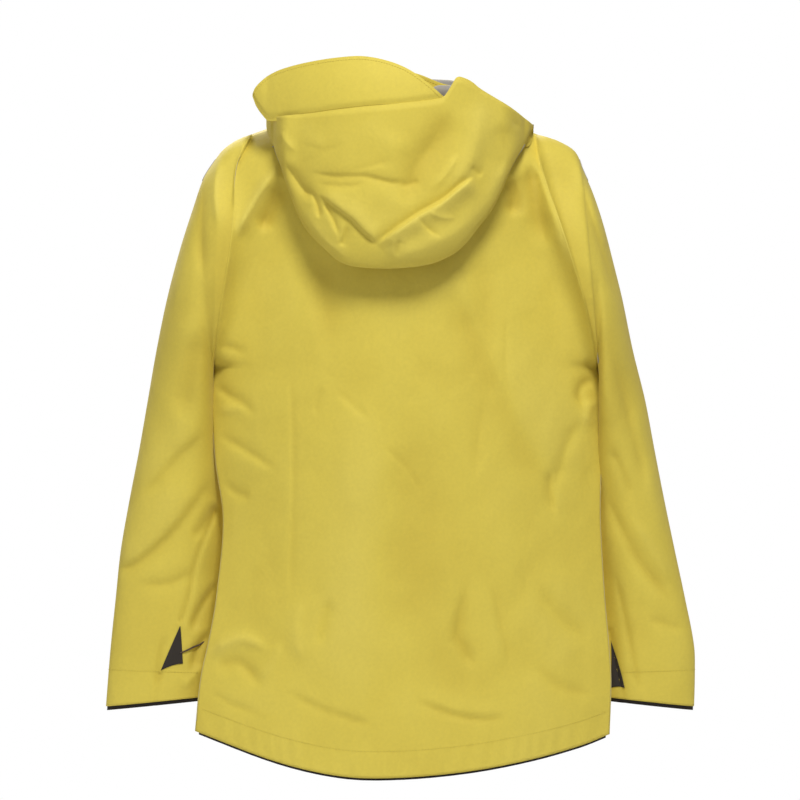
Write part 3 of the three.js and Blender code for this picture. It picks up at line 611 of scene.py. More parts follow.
def tone_and_fold_shade_group() -> bpy.types.NodeTree:
    """Make a finish's unevenness: patches of tone, with painted shade deeper in the folds and a painted
    highlight paler on their crests.
    """
    tree, g, start, end = group(
        "Uneven tone",
        {
            "Vector": ("Vector", None), "Colour": ("Color", (0.5, 0.5, 0.5, 1)),
            "Deep": ("Color", (0.2, 0.2, 0.2, 1)), "Pale": ("Color", (0.8, 0.8, 0.8, 1)),
            "Fold": ("Float", 0.0), "Patch": ("Float", 9.0), "Roughness": ("Float", 0.7),
        },
        {"Colour": "Color", "Roughness": "Float"},
    )
    place = start.outputs["Vector"]
    patch = g.node("ShaderNodeTexNoise", Vector=place, Scale=start.outputs["Patch"], Detail=4.0)
    fine = g.node("ShaderNodeTexNoise", Vector=place, Scale=260.0, Detail=2.0)
    # Painted shade and highlight: the Fold input pushes valleys towards the Deep colour and crests towards
    # the Pale colour, on top of the random patches.
    tone = g.maths("MULTIPLY_ADD", g.maths("SUBTRACT", patch.outputs[0], 0.5), 0.5, start.outputs["Fold"])
    low = g.maths("MULTIPLY", g.maths("MAXIMUM", g.maths("MULTIPLY", tone, -1.0), 0.0), 0.85)
    high = g.maths("MULTIPLY", g.maths("MAXIMUM", tone, 0.0), 0.6)
    colour = g.blend(low, start.outputs["Colour"], start.outputs["Deep"])
    colour = g.blend(high, colour, start.outputs["Pale"])
    speck = g.maths("MULTIPLY_ADD", fine.outputs[0], 0.12, 0.94)
    grey = g.node("ShaderNodeCombineColor", i0=speck, i1=speck, i2=speck)
    colour = g.blend(1.0, colour, grey.outputs[0], "MULTIPLY")
    g.tree.links.new(colour, end.inputs["Colour"])
    swing = g.maths("SUBTRACT", fine.outputs[0], 0.5)
    rough = g.maths("MULTIPLY_ADD", swing, 0.16, start.outputs["Roughness"])
    g.tree.links.new(rough, end.inputs["Roughness"])
    return tree


@dataclass
class Shelf:
    """The node groups that the finishes share."""

    weave: bpy.types.NodeTree = field(default_factory=weave_group)
    crumple: bpy.types.NodeTree = field(default_factory=crumple_group)
    wear: bpy.types.NodeTree = field(default_factory=tone_and_fold_shade_group)


@dataclass(frozen=True)
class ClothFinish:
    """A woven or knitted cloth.

    Attributes:
        name: the material's name.
        colour: the cloth's colour.
        deep: its colour in dark tone patches, and the painted shade down in the folds.
        pale: its colour in pale tone patches, and the painted highlight on the crests.
        roughness: mean roughness.
        threads: threads for each metre.
        relief: height of the weave, in metres.
        dents: height of the small creases, in metres.
        crease_size: small creases for each metre.
        sheen: weight of the fibres' sheen.
        by_uv: whether the weave follows the piece's own map.
    """

    name: str
    colour: tuple[float, float, float]
    deep: tuple[float, float, float]
    pale: tuple[float, float, float]
    roughness: float = 0.7
    threads: float = 1100.0
    relief: float = 0.00006
    dents: float = 0.0012
    crease_size: float = 22.0
    sheen: float = 0.05
    by_uv: bool = True

    def material(self, shelf: Shelf) -> bpy.types.Material:
        """Build the material."""
        material = bpy.data.materials.new(self.name)
        material.use_nodes = True
        material.node_tree.nodes.clear()
        g = Graph(material.node_tree)
        place = g.node("ShaderNodeTexCoord")
        flat, fold = place.outputs["Object"], 0.0
        if self.by_uv:
            flat = g.node("ShaderNodeUVMap", {"uv_map": "cloth"}).outputs[0]
            # The fold attribute drives painted shade in the valleys and a painted highlight on the crests.
            fold = g.node("ShaderNodeAttribute", {"attribute_name": "fold"}).outputs["Fac"]
        # Random tone patches, with painted fold shade and highlight where the fold attribute is set.
        wear = g.node("ShaderNodeGroup", {"node_tree": shelf.wear}, Vector=place.outputs["Object"], Fold=fold)
        wear.inputs["Colour"].default_value = (*self.colour, 1)
        wear.inputs["Deep"].default_value = (*self.deep, 1)
        wear.inputs["Pale"].default_value = (*self.pale, 1)
        wear.inputs["Roughness"].default_value = self.roughness
        weave = g.node("ShaderNodeGroup", {"node_tree": shelf.weave}, Vector=flat, Threads=self.threads)
        crumple = g.node(
            "ShaderNodeGroup", {"node_tree": shelf.crumple}, Vector=place.outputs["Object"],
            Size=self.crease_size,
        )
        dented = g.node("ShaderNodeBump", Height=crumple.outputs["Height"], Distance=self.dents)
        woven = g.node(
            "ShaderNodeBump", Height=weave.outputs["Height"], Distance=self.relief, Normal=dented.outputs[0],
        )
        surface = g.node(
            "ShaderNodeBsdfPrincipled", Base_Color=wear.outputs["Colour"],
            Roughness=wear.outputs["Roughness"], Normal=woven.outputs[0], Sheen_Weight=self.sheen,
            Sheen_Roughness=0.5, Specular_IOR_Level=0.25,
        )
        g.node("ShaderNodeOutputMaterial", Surface=surface.outputs[0])
        return material


@dataclass(frozen=True)
class HardFinish:
    """Moulded plastic or painted metal.

    Attributes:
        name: the material's name.
        colour: its colour.
        pale: its colour where it is rubbed.
        roughness: mean roughness.
        metallic: 1 for metal.
        grain: height of the moulded grain, in metres.
    """

    name: str
    colour: tuple[float, float, float]
    pale: tuple[float, float, float]
    roughness: float = 0.45
    metallic: float = 0.0
    grain: float = 0.00004

    def material(self, shelf: Shelf) -> bpy.types.Material:
        """Build the material."""
        material = bpy.data.materials.new(self.name)
        material.use_nodes = True
        material.node_tree.nodes.clear()
        g = Graph(material.node_tree)
        place = g.node("ShaderNodeTexCoord").outputs["Object"]
        rub = g.node("ShaderNodeTexNoise", Vector=place, Scale=900.0, Detail=3.0)
        wear = g.node("ShaderNodeGroup", {"node_tree": shelf.wear}, Vector=place, Patch=140.0)
        wear.inputs["Colour"].default_value = (*self.colour, 1)
        wear.inputs["Deep"].default_value = (*(0.6 * c for c in self.colour), 1)
        wear.inputs["Pale"].default_value = (*self.pale, 1)
        wear.inputs["Roughness"].default_value = self.roughness
        bump = g.node("ShaderNodeBump", Height=rub.outputs[0], Distance=self.grain)
        surface = g.node(
            "ShaderNodeBsdfPrincipled", Base_Color=wear.outputs["Colour"],
            Roughness=wear.outputs["Roughness"], Normal=bump.outputs[0], Metallic=self.metallic,
        )
        g.node("ShaderNodeOutputMaterial", Surface=surface.outputs[0])
        return material


# The deep colours below are also painted shade in the fold valleys, and the pale colours painted highlight on
# the crests, on pieces that carry a fold attribute.
SHELL_CLOTH = ClothFinish(
    "shell_cloth", (0.61, 0.492, 0.072), (0.42, 0.29, 0.024), (0.68, 0.58, 0.14), threads=900, dents=0.0022,
)
KNIT_BACKER = ClothFinish(
    "knit_backer", (0.40, 0.375, 0.34), (0.25, 0.23, 0.20), (0.50, 0.48, 0.44), roughness=0.85, threads=650,
    relief=0.0001, dents=0.0008, sheen=0.25,
)
DARK_FACING = ClothFinish(
    "dark_facing", (0.012, 0.008, 0.005), (0.008, 0.006, 0.004), (0.03, 0.022, 0.016), roughness=0.8,
    threads=800, dents=0.0005,
)
GUSSET_CLOTH = ClothFinish(
    "gusset_cloth", (0.030, 0.024, 0.020), (0.018, 0.014, 0.012), (0.055, 0.046, 0.04), roughness=0.8,
    threads=700, dents=0.0005,
)
SEAM_THREAD = ClothFinish(
    "seam_thread", (0.56, 0.45, 0.066), (0.40, 0.30, 0.03), (0.66, 0.56, 0.12), roughness=0.6, threads=2600,
    dents=0.0, by_uv=False,
)
ZIP_TAPE = ClothFinish(
    "zip_tape", (0.47, 0.38, 0.055), (0.33, 0.25, 0.03), (0.56, 0.47, 0.1), roughness=0.55, threads=1300,
    relief=0.0001, dents=0.0, by_uv=False,
)
LOOP_TAPE = ClothFinish(
    "loop_tape", (0.022, 0.018, 0.013), (0.012, 0.01, 0.008), (0.05, 0.042, 0.034), roughness=0.7,
    threads=900, relief=0.0002, dents=0.0, by_uv=False,
)
BRAID = ClothFinish(
    "braided_cord", (0.085, 0.055, 0.036), (0.03, 0.02, 0.015), (0.22, 0.18, 0.14), roughness=0.6,
    threads=1500, relief=0.0002, dents=0.0, by_uv=False,
)
BLACK_PLASTIC = HardFinish("black_plastic", (0.018, 0.017, 0.015), (0.07, 0.065, 0.06))
SLIDER_METAL = HardFinish(
    "slider_metal", (0.16, 0.155, 0.15), (0.5, 0.49, 0.47), roughness=0.35, metallic=1.0,
)


@dataclass
class Wardrobe:
    """The materials, built once."""

    shelf: Shelf = field(default_factory=Shelf)
    made: dict[str, bpy.types.Material] = field(default_factory=dict)

    def get(self, finish: ClothFinish | HardFinish) -> bpy.types.Material:
        """Return a finish's material."""
        if finish.name not in self.made:
            self.made[finish.name] = finish.material(self.shelf)
        return self.made[finish.name]


def mark_fold_shading(piece: bpy.types.Object, lifts: Array, depth: float = 16.0) -> None:
    """Keep how deep each point lies in its folds, for the finish to paint shade in the valleys and a
    highlight on the crests.
    """
    attribute = piece.data.attributes.new("fold", "FLOAT", "POINT")
    attribute.data.foreach_set("value", np.clip(lifts / depth, -1, 1).astype(np.float32))


def dress(piece: bpy.types.Object, body: str, slot: str, *nodes: str) -> bpy.types.Object:
    """Say which body a piece moves with and which nodes it replaces; the slot is not used."""
    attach(piece, body)
    if nodes:
        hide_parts(*nodes)
    log.info("%s rides on %s", piece.name, body)
    return piece


# ---------------------------------------------------------------- stitching


def stitches(
    name: str, line: Array, out: Array, material: bpy.types.Material, body: str, pitch: float = 3.6,
) -> bpy.types.Object:
    """Lay a row of topstitches along a line.

    Args:
        name: the row's name.
        line: garment points that the row follows.
        out: the cloth's normal at each of them.
        material: the thread's material.
        body: the body it moves with.
        pitch: length of a stitch with its gap.

    Returns:
        The row.
    """
    legs = np.linalg.norm(np.diff(line, axis=0), axis=1)
    run = np.concatenate([[0], np.cumsum(legs)])
    count = max(int(run[-1] / pitch), 1)
    bm = bmesh.new()
    for middle in (np.arange(count) + 0.5) * run[-1] / count:
        i = min(int(np.searchsorted(run, middle, side="right")) - 1, len(legs) - 1)
        k = (middle - run[i]) / max(legs[i], 1e-6)
        along = Vector(line[i + 1] - line[i]).normalized()
        normal = Vector(mix(out[i], out[i + 1], k)).normalized()
        across = normal.cross(along).normalized()
        turn = Matrix((along, across, along.cross(across))).transposed().to_4x4()
        place = Matrix.Translation(Vector(to_row(mix(line[i], line[i + 1], k))))
        shape = Matrix.Diagonal((0.38 * pitch * MM, 0.42 * MM, 0.3 * MM, 1))
        bmesh.ops.create_icosphere(bm, subdivisions=1, radius=1.0, matrix=place @ turn @ shape)
    piece = finish_mesh(name, bm, [material])
    return dress(piece, body, "shell_fabric")


def row_on(
    surface: Surface, u: Array, v: Array, inside: Sequence[float], lift: float = 0.15,
) -> tuple[Array, Array]:
    """Return the points of a row of stitches on a surface, and the normals there."""
    out = normals(surface, u, v, np.array(inside))
    return surface(u, v) + lift * out, out


# ---------------------------------------------------------------- the body


BACK_FOLDS = Drape(
    (
        Fold(((134, -68), (160, -104), (176, -132), (192, -158)), 8, 6, 1.4),
        Fold(((132, -88), (147, -122), (160, -150)), 9, -5, 1.6),
        Fold(((-154, -58), (-168, -98), (-180, -140), (-196, -200)), 8, 5, 1.5),
        Fold(((-152, -60), (-172, -70), (-190, -68)), 7, 4, 1.5),
        Fold(((-146, -70), (-153, -110), (-166, -170)), 12, -5, 1.8),
        Fold(((-172, -82), (-180, -105), (-184, -136)), 8, -7, 1.5),
        Fold(((-118, -84), (-128, -108), (-124, -132)), 10, -5, 1.7),
        Fold(((103, -158), (88, -215), (74, -290)), 20, -3.2, 1.9, 0.4),
        Fold(((-84, -158), (-95, -230), (-100, -300)), 20, -3.2, 1.9, 0.4),
        Fold(((-168, -446), (-150, -404), (-112, -328), (-72, -240), (-58, -205)), 22, -3.2, 1.7, 0.3, 3.2),
        Fold(((-176, -470), (-170, -440), (-172, -418)), 6, -2.6, 1.3, 0.3, 2),
        Fold(((-170, -452), (-181, -414), (-192, -384), (-206, -360)), 8, -2.4, 1.4, 0.3),
        Fold(((-224, -316), (-209, -320), (-202, -333), (-212, -346)), 5, -3, 1.4, 0.3),
        Fold(((-226, -338), (-214, -350), (-212, -372)), 7, 2.4, 1.5, 0.3),
        Fold(((-119, -238), (-118, -300), (-121, -360)), 4, -0.9, 1.2, 0.3),
        Fold(((125, -306), (123, -430), (126, -575)), 4, -1.1, 1.2, 0.25, 0.7),
        Fold(((222, -268), (200, -279), (172, -286)), 5, -1.8, 1.3, 0.35, 0.8),
        Fold(((218, -322), (190, -338), (162, -357)), 6, -2.4, 1.4, 0.35, 1.0),
        Fold(((214, -352), (192, -350), (170, -344)), 5, 1.6, 1.4, 0.35),
        Fold(((210, -378), (176, -398), (140, -420)), 6, -2.0, 1.4, 0.35, 1.0),
        Fold(((210, -430), (184, -446), (168, -448)), 6, -1.6, 1.4, 0.35),
        Fold(((60, -320), (48, -460), (62, -600), (50, -700)), 34, 2.6, 2.0, 0.3),
        Fold(((-30, -330), (-22, -480), (-40, -620), (-30, -700)), 38, -2.4, 2.0, 0.3),
        Fold(((88, -322), (94, -340), (97, -358)), 4, -0.9, 1.2, 0.3),
        Fold(((76, -326), (54, -346), (34, -364)), 4, -0.9, 1.2, 0.3, 0.4),
        Fold(((24, -390), (-4, -414), (-28, -450)), 4, -0.9, 1.2, 0.3, 0.4),
        Fold(((-96, -330), (-88, -380), (-84, -430)), 8, -1.0, 1.5, 0.3),
        Fold(((226, -634), (200, -617), (176, -611), (148, -625)), 7, 3.2, 1.4, 0.3),
        Fold(((214, -646), (184, -638), (156, -667)), 8, -2.8, 1.5, 0.3),
        Fold(((136, -612), (146, -636), (160, -660)), 5, 1.6, 1.4, 0.3),
        Fold(((79, -560), (88, -590), (97, -620)), 7, -2.2, 1.5, 0.3, 1.0),
        Fold(((112, -560), (120, -600), (112, -640)), 9, 1.6, 1.6, 0.3),
        Fold(((-76, -536), (-63, -600), (-70, -622), (-86, -648)), 8, -3.0, 1.4, 0.3, 1.4),
        Fold(((-101, -540), (-114, -600), (-124, -642)), 7, -1.6, 1.4, 0.3, 1.0),
        Fold(((-124, -699), (-70, -696), (-12, -676)), 5, -2.0, 1.3, 0.3, 1.8),
        Fold(((22, -709), (78, -692), (136, -667)), 5, -1.6, 1.3, 0.3, 1.0),
        Fold(((128, -700), (176, -690), (222, -668)), 5, -1.4, 1.3, 0.3, 1.0),
        Fold(((-150, -548), (-182, -590), (-216, -616)), 12, -2.4, 1.7, 0.3, 1.6),
        Fold(((-150, -640), (-180, -666), (-222, -676)), 9, -2.0, 1.5, 0.3, 1.2),
    ),
    ripple=2.0,
    seed=0.4,
    strength=1.7,
)
FRONT_FOLDS = {
    Side.LEFT: Drape(
        (
            Fold(((196, -320), (150, -345), (90, -350)), 14, -4),
            Fold(((60, -90), (78, -150), (110, -230)), 16, -4),
            Fold(((30, -430), (48, -520), (40, -640)), 18, -3.5),
            Fold(((205, -480), (170, -505), (150, -500)), 10, -3),
            Fold(((180, -640), (110, -655), (50, -650)), 12, -3),
        ),
        ripple=1.3,
        seed=1.7,
    ),
    Side.RIGHT: Drape(
        (
            Fold(((-208, -315), (-160, -338), (-100, -330)), 14, -4),
            Fold(((-55, -95), (-80, -170), (-115, -250)), 16, -4),
            Fold(((-28, -400), (-44, -500), (-36, -620)), 18, -3.5),
            Fold(((-212, -470), (-176, -490), (-150, -486)), 10, -3),
            Fold(((-185, -650), (-120, -640), (-50, -655)), 12, -3),
        ),
        ripple=1.3,
        seed=2.9,
    ),
}
TORSO_MIDDLE = (0.0, 0.0, -350.0)


def back_surface(u: Array, v: Array) -> Array:
    """Return the back panel's outer face: u from the right side seam, v from the hem."""
    across = np.abs(2 * u - 1)
    left = body_point(Side.LEFT, True, 0.0, across, v)
    right = body_point(Side.RIGHT, True, 0.0, across, v)
    points = np.where((u >= 0.5)[:, None], left, right)
    hold = smooth(0, 0.07, 1 - across) * smooth(0, 0.07, 1 - v) * (0.35 + 0.65 * smooth(0, 0.05, v))
    hem = smooth(0.045, 0.03, v) * smooth(0, 0.012, v)
    points[:, 1] += 0.55 * hem * np.sin(points[:, 0] / 2.9 + 2.2 * np.sin(points[:, 0] / 23))
    over_lock = np.hypot(np.abs(points[:, 0]) - 146, points[:, 2] + 697) / 30
    points[:, 1] += 1.5 * np.exp(-(over_lock**2))
    return folded(points, BACK_FOLDS, hold * smooth(0.3, 1.3, over_lock), True)


def front_surface(side: Side) -> Surface:
    """Return one front panel's outer face: u from the zip, v from the hem."""

    def surface(u: Array, v: Array) -> Array:
        points = body_point(side, False, CUT.front_edge, u, v)
        hold = smooth(0, 0.08, 1 - u) * smooth(0, 0.08, u) * smooth(0, 0.08, 1 - v)
        return folded(points, FRONT_FOLDS[side], hold * (0.35 + 0.65 * smooth(0, 0.05, v)), False)

    return surface


@dataclass
class Torso:
    """The body: back, two fronts, and the dark facing inside its hem.

    Attributes:
        wardrobe: the materials.
        facing_rise: height of the hem facing.
        binding: how far the facing shows below the hem.
        stitch_rise: the hem's topstitching above its edge.
        tall: a panel's height along its side.
    """

    wardrobe: Wardrobe
    facing_rise: float = 28.0
    binding: float = 2.5
    stitch_rise: float = 26.0
    tall: float = 650.0

    def build(self) -> None:
        """Build and dress every piece."""
        cloth, backer = self.wardrobe.get(SHELL_CLOTH), self.wardrobe.get(KNIT_BACKER)
        back = loft("back", 190, 200, back_surface, (cloth, backer), size=(0.5, 0.75), outward=self._middle())
        self._shade_folds(back, BACK_FOLDS)
        thicken(back, CUT.cloth * MM)
        dress(back, "shell", "shell_fabric", "back_panel")
        self._hem("back_hem_band", back_surface, 120, "back_hem_facing", 0.008, 0.992)
        self._hem_stitches("back_hem_stitches", back_surface)
        for side in Side:
            self.build_front(side)

    def build_front(self, side: Side) -> None:
        """Build one front panel with its hem facing."""
        cloth, backer = self.wardrobe.get(SHELL_CLOTH), self.wardrobe.get(KNIT_BACKER)
        surface = front_surface(side)
        name = f"{side.word}_front"
        panel = loft(name, 96, 190, surface, (cloth, backer), size=(0.25, 0.7), outward=self._middle())
        self._shade_folds(panel, FRONT_FOLDS[side])
        thicken(panel, CUT.cloth * MM)
        dress(panel, "shell", "shell_fabric", f"{side.word}_front_panel")
        self._hem(f"{name}_hem_band", surface, 60, f"{side.word}_front_hem_facing", 0.03, 0.99)
        self._hem_stitches(f"{name}_hem_stitches", surface)
        v = np.linspace(0.01, 0.985, 260)
        for k, reach in enumerate((0.018, 0.045)):
            line, out = row_on(surface, np.full(v.shape, reach), v, TORSO_MIDDLE)
            stitches(f"{name}_edge_stitches_{k + 1}", line, out, self.wardrobe.get(SEAM_THREAD), "shell")

    def _middle(self) -> Vector:
        """Return a row-frame point inside the body."""
        return Vector(to_row(np.array(TORSO_MIDDLE)))

    def _shade_folds(self, piece: bpy.types.Object, drape: Drape) -> None:
        """Mark a panel's folds, for painted shade in the valleys and a painted highlight on the crests."""
        x, z = self._places(piece)
        mark_fold_shading(piece, drape.lift(x, z))

    @staticmethod
    def _places(piece: bpy.types.Object) -> tuple[Array, Array]:
        """Return the x and z of a piece's vertices, in millimetres."""
        place = np.array([v.co for v in piece.data.vertices]) / MM
        return place[:, 0], place[:, 2]

    def _hem(self, name: str, surface: Surface, columns: int, node: str, low: float, high: float) -> None:
        """Build the dark band inside a panel's hem, showing a little below it."""

        def band(u: Array, v: Array) -> Array:
            share = np.maximum(v, 0) * self.facing_rise / self.tall
            inner = lifted(surface, -CUT.cloth - 0.5, TORSO_MIDDLE)(mix(low, high, u), share)
            inner[:, 2] -= self.binding * (1 - v) ** 3
            return inner

        facing = self.wardrobe.get(DARK_FACING)
        piece = loft(name, columns, 10, band, (facing,), size=(0.5, 0.03), outward=self._middle())
        thicken(piece, 0.6 * MM)
        dress(piece, "shell", "dark_facing", node)

    def _hem_stitches(self, name: str, surface: Surface) -> None:
        """Stitch along a hem."""
        u = np.linspace(0.012, 0.988, 200)
        line, out = row_on(surface, u, np.full(u.shape, self.stitch_rise / self.tall), TORSO_MIDDLE)
        stitches(name, line, out, self.wardrobe.get(SEAM_THREAD), "shell")


# ---------------------------------------------------------------- the sleeves

# Each sleeve's outer edge, by height.
SLEEVE_EDGE = {
    Side.LEFT: through(
        (-694.2, 338.5), (-625.4, 332.9), (-567.7, 326.9), (-511, 320.8), (-453.4, 310.7), (-396.7, 299.6),
        (-339, 289.4), (-282.3, 279.3), (-224.6, 267.2), (-168.1, 252.2), (-118.7, 236.4), (-85.3, 224.6),
        (-65.8, 212.1), (-53, 202), (-42, 186), (-36, 171),
    ),
    Side.RIGHT: through(
        (-696.2, 336), (-653.7, 337), (-620.3, 336), (-567.7, 325.9), (-511, 313.7), (-453.4, 301.6),
        (-396.7, 290.4), (-339, 279.3), (-282.3, 265.1), (-224.6, 253), (-188.2, 243.9), (-138.4, 230.8),
        (-103, 219), (-75.6, 207.3), (-55, 198), (-43, 178), (-36, 156),
    ),
}
SLEEVE_FOLDS = {
    Side.LEFT: Drape(
        (
            Fold(((207, -60), (211, -100), (206, -146)), 6, 4, 1.5),
            Fold(((222, -84), (226, -140), (224, -204)), 8, -3.6, 1.6),
            Fold(((240, -110), (250, -170), (258, -240)), 10, 2.4, 1.7),
            Fold(((228, -257), (240, -310), (250, -366)), 14, -3.6, 1.7),
            Fold(((216, -366), (262, -410), (304, -456)), 11, -2.4, 1.5, 0.3, 3),
            Fold(((214, -424), (256, -482), (298, -520), (330, -532)), 11, -3.6, 1.4, 0.25, 4.5),
            Fold(((208, -455), (222, -474), (240, -500)), 8, -4, 1.5, 0.3, 2),
            Fold(((232, -528), (262, -546), (304, -548)), 8, -1.8, 1.5, 0.3, 1.2),
            Fold(((268, -604), (275, -636), (279, -672)), 3.5, -2.0, 1.3, 0.3),
            Fold(((206, -540), (232, -580), (240, -606)), 5, -3.6, 1.4, 0.3, 1.8),
            Fold(((216, -600), (234, -624), (240, -650)), 5, -3.4, 1.4, 0.3, 1.8),
            Fold(((222, -640), (238, -656), (250, -670)), 5, 2.0, 1.4, 0.3),
            Fold(((210, -463), (233, -520), (242, -565), (251, -594)), 2.6, -2.2, 1.4, 0.05),
            Fold(((274, -650), (278, -664), (283, -690)), 2.6, -1.6, 1.4, 0.1),
        ),
        ripple=1.8,
        seed=0.9,
        strength=1.5,
    ),
    Side.RIGHT: Drape(
        (
            Fold(((-199, -60), (-214, -104), (-234, -166)), 7, 3, 1.5),
            Fold(((-204, -92), (-222, -150), (-246, -232)), 7, -3, 1.5),
            Fold(((-238, -280), (-260, -370), (-282, -444)), 12, -3.6, 1.6, 0.3, 2.4),
            Fold(((-262, -330), (-284, -420), (-300, -500)), 11, 2.4, 1.7, 0.3),
            Fold(((-232, -446), (-266, -518), (-312, -574)), 8, -3.4, 1.4, 0.3, 2.6),
            Fold(((-262, -470), (-288, -512), (-312, -548)), 8, 2.4, 1.5, 0.3),
            Fold(((-236, -392), (-250, -420), (-262, -452)), 6, -2.4, 1.4, 0.3, 1.4),
            Fold(((-245, -540), (-258, -604), (-272, -680)), 4.5, -2.6, 1.3, 0.2, 1.2),
            Fold(((-280, -588), (-304, -598), (-326, -602)), 7, -1.6, 1.5, 0.3, 1.0),
            Fold(((-238, -600), (-249, -655), (-258, -690)), 2.6, -2.2, 1.4, 0.05),
        ),
        ripple=1.8,
        seed=3.3,
        strength=1.5,
    ),
}
SLEEVE_FRONT = Drape(
    (
        Fold(((250, -300), (268, -330), (280, -380)), 12, -5),
        Fold(((232, -400), (262, -420), (292, -418)), 11, -6),
        Fold(((236, -448), (270, -456), (300, -448)), 11, -5),
        Fold(((240, -520), (280, -530), (312, -522)), 11, -4),
        Fold(((215, -100), (224, -150), (240, -210)), 12, -4),
    ),
    ripple=1.3,
    seed=5.1,
)


@dataclass
class Sleeve:
    """One sleeve, hanging from the armhole, with its cuff, tab and wrist gusset.

    Attributes:
        side: the wearer's side.
        wardrobe: the materials.
        cuff_in_z: height of the cuff's inner end.
        cuff_fall: the outer end is this much lower.
        side_clear: the sleeve's inner edge beside the body's edge.
        cuff_tuck: how far the cuff passes in front of the body's side.
        side_ahead: how much further forward the inner edge lies, in front of the body's side.
        length: the under-arm length.
        facing: height of the facing inside the cuff.
        cord_length: length of the left wrist cord.
        tab_rise: the cuff tab's lower edge above the cuff.
        tab_width: its width.
        inner_edge: the sleeve's inner edge, by height.
        half_depth: half of its depth, by share from the armhole.
        forward: how far forward it hangs, by the same share.
    """

    side: Side
    wardrobe: Wardrobe
    cuff_in_z: float = -676.0
    cuff_fall: float = 14.0
    side_clear: float = 3.2
    cuff_tuck: float = 27.0
    side_ahead: float = 34.0
    length: float = 371.0
    facing: float = 26.0
    cord_length: float = 35.15
    tab_rise: float = 12.0
    tab_width: float = 26.0
    inner_edge: Callable[[Array], Array] = field(
        default=through((-690, 236), (-455, 216), (-300, 221), (-36, 168))
    )
    half_depth: Callable[[Array], Array] = field(default=through((0, 66), (0.25, 64), (0.55, 50), (1, 25)))
    forward: Callable[[Array], Array] = field(default=through((0, 0), (0.2, 5), (0.5, 27), (1, 44)))

    @property
    def inside(self) -> tuple[float, float, float]:
        """A garment point inside the sleeve."""
        return (self.side.value * 262.0, -32.0, -430.0)

    def plain(self, u: Array, v: Array) -> Array:
        """Return the sleeve's outer face: u goes round from the inner edge by the front, v down."""
        turn = math.pi * (2 * u - 1)
        inner_z = mix(CUT.pit_z, self.cuff_in_z, v)
        outer_z = mix(CUT.shoulder_z, self.cuff_in_z - self.cuff_fall, v)
        tuck = self.cuff_tuck * smooth(0.35, 1, v)
        body = BODY_EDGE[self.side](inner_z)
        below = np.minimum(self.inner_edge(inner_z) + self.side_clear, body - 4)
        beside = mix(body, below, smooth(0, 0.12, v))
        inner_x = beside - tuck
        outer_x = SLEEVE_EDGE[self.side](outer_z)
        swing = np.cos(turn)
        x = (inner_x + outer_x) / 2 + swing * (outer_x - inner_x) / 2
        z = (inner_z + outer_z) / 2 + swing * (outer_z - inner_z) / 2
        edge = BODY_EDGE[self.side](z)
        x = mix(np.maximum(x, edge * (v < 0.02)), x, smooth(0.0, 0.02, v))
        x = np.where(v <= 0, edge, x)
        ahead = self.side_ahead * smooth(0, 0.14, v) * smooth(1.05, 0.7, v) * ((1 - swing) / 2) ** 1.6
        drawn = seam_pinch(z) * np.sign(np.sin(turn)) * smooth(0.12, 0, v)
        y = self.half_depth(v) * np.sin(turn) - drawn - self.forward(v) - ahead
        return np.stack([self.side.value * x, y, z], axis=-1)

    def lifts(self, points: Array, u: Array, v: Array) -> Array:
        """Return how far the folds lift each point."""
        turn = math.pi * (2 * u - 1)
        back = smooth(0.0, 0.45, np.sin(turn))
        front = smooth(0.0, 0.45, -np.sin(turn))
        behind = SLEEVE_FOLDS[self.side].lift(points[:, 0], points[:, 2])
        ahead = SLEEVE_FRONT.lift(self.side.value * points[:, 0], points[:, 2] + 9 * (self.side.value - 1))
        held = smooth(0, 0.02, v) * (0.3 + 0.7 * smooth(0, 0.05, 1 - v))
        return (behind * back + ahead * front) * held

    def surface(self, u: Array, v: Array) -> Array:
        """Return the sleeve's outer face with its folds."""
        points = self.plain(u, v)
        lift = self.lifts(points, u, v)
        turn = math.pi * (2 * u - 1)
        points[:, 1] += lift * np.sign(np.sin(turn))
        return points

    def build(self) -> None:
        """Build every piece of the sleeve, and dress all but the arm itself."""
        cloth, backer = self.wardrobe.get(SHELL_CLOTH), self.wardrobe.get(KNIT_BACKER)
        word, body = self.side.word, f"{self.side.word}_sleeve"
        middle = Vector(to_row(np.array(self.inside)))
        sleeve = loft(
            f"{word}_arm", 150, 200, self.surface, (cloth, backer), closed=True, size=(0.3, 0.4),
            outward=middle,
        )
        place = np.array([v.co for v in sleeve.data.vertices]) / MM
        # Painted shade: the back of the sleeve gets painted fold shade and highlight, and its inner side
        # beside the body, below the shoulder, is painted darker as if shaded by the body.
        depth = SLEEVE_FOLDS[self.side].lift(place[:, 0], place[:, 2])
        edge = BODY_EDGE[self.side](place[:, 2])
        beside = smooth(34, -4, np.abs(place[:, 0]) - edge) * smooth(-60, -190, place[:, 2])
        mark_fold_shading(sleeve, np.where(place[:, 1] + LOOP_Y > -60, depth, 0) - 7 * beside)
        self.join(sleeve)
        thicken(sleeve, CUT.cloth * MM)
        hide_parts(f"{word}_sleeve_outer", f"{word}_sleeve_under")
        log.info("%s blends from the shell to %s", sleeve.name, body)
        self.build_cuff(middle)
        self.build_tab()
        self.build_gusset()
        if self.side is Side.LEFT:
            self.build_cord()

    def join(self, piece: bpy.types.Object) -> None:
        """Bake the sleeve's place into its mesh."""
        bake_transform(piece)

    def build_cuff(self, middle: Vector) -> None:
        """Build the dark facing inside the cuff and the stitching round it."""
        length = self.length

        def band(u: Array, v: Array) -> Array:
            share = 1 - self.facing * (1 - v) / length
            inner = lifted(self.surface, -CUT.cloth - 0.6, self.inside)(u, share)
            inner[:, 2] -= 4.4 * v**3
            return inner

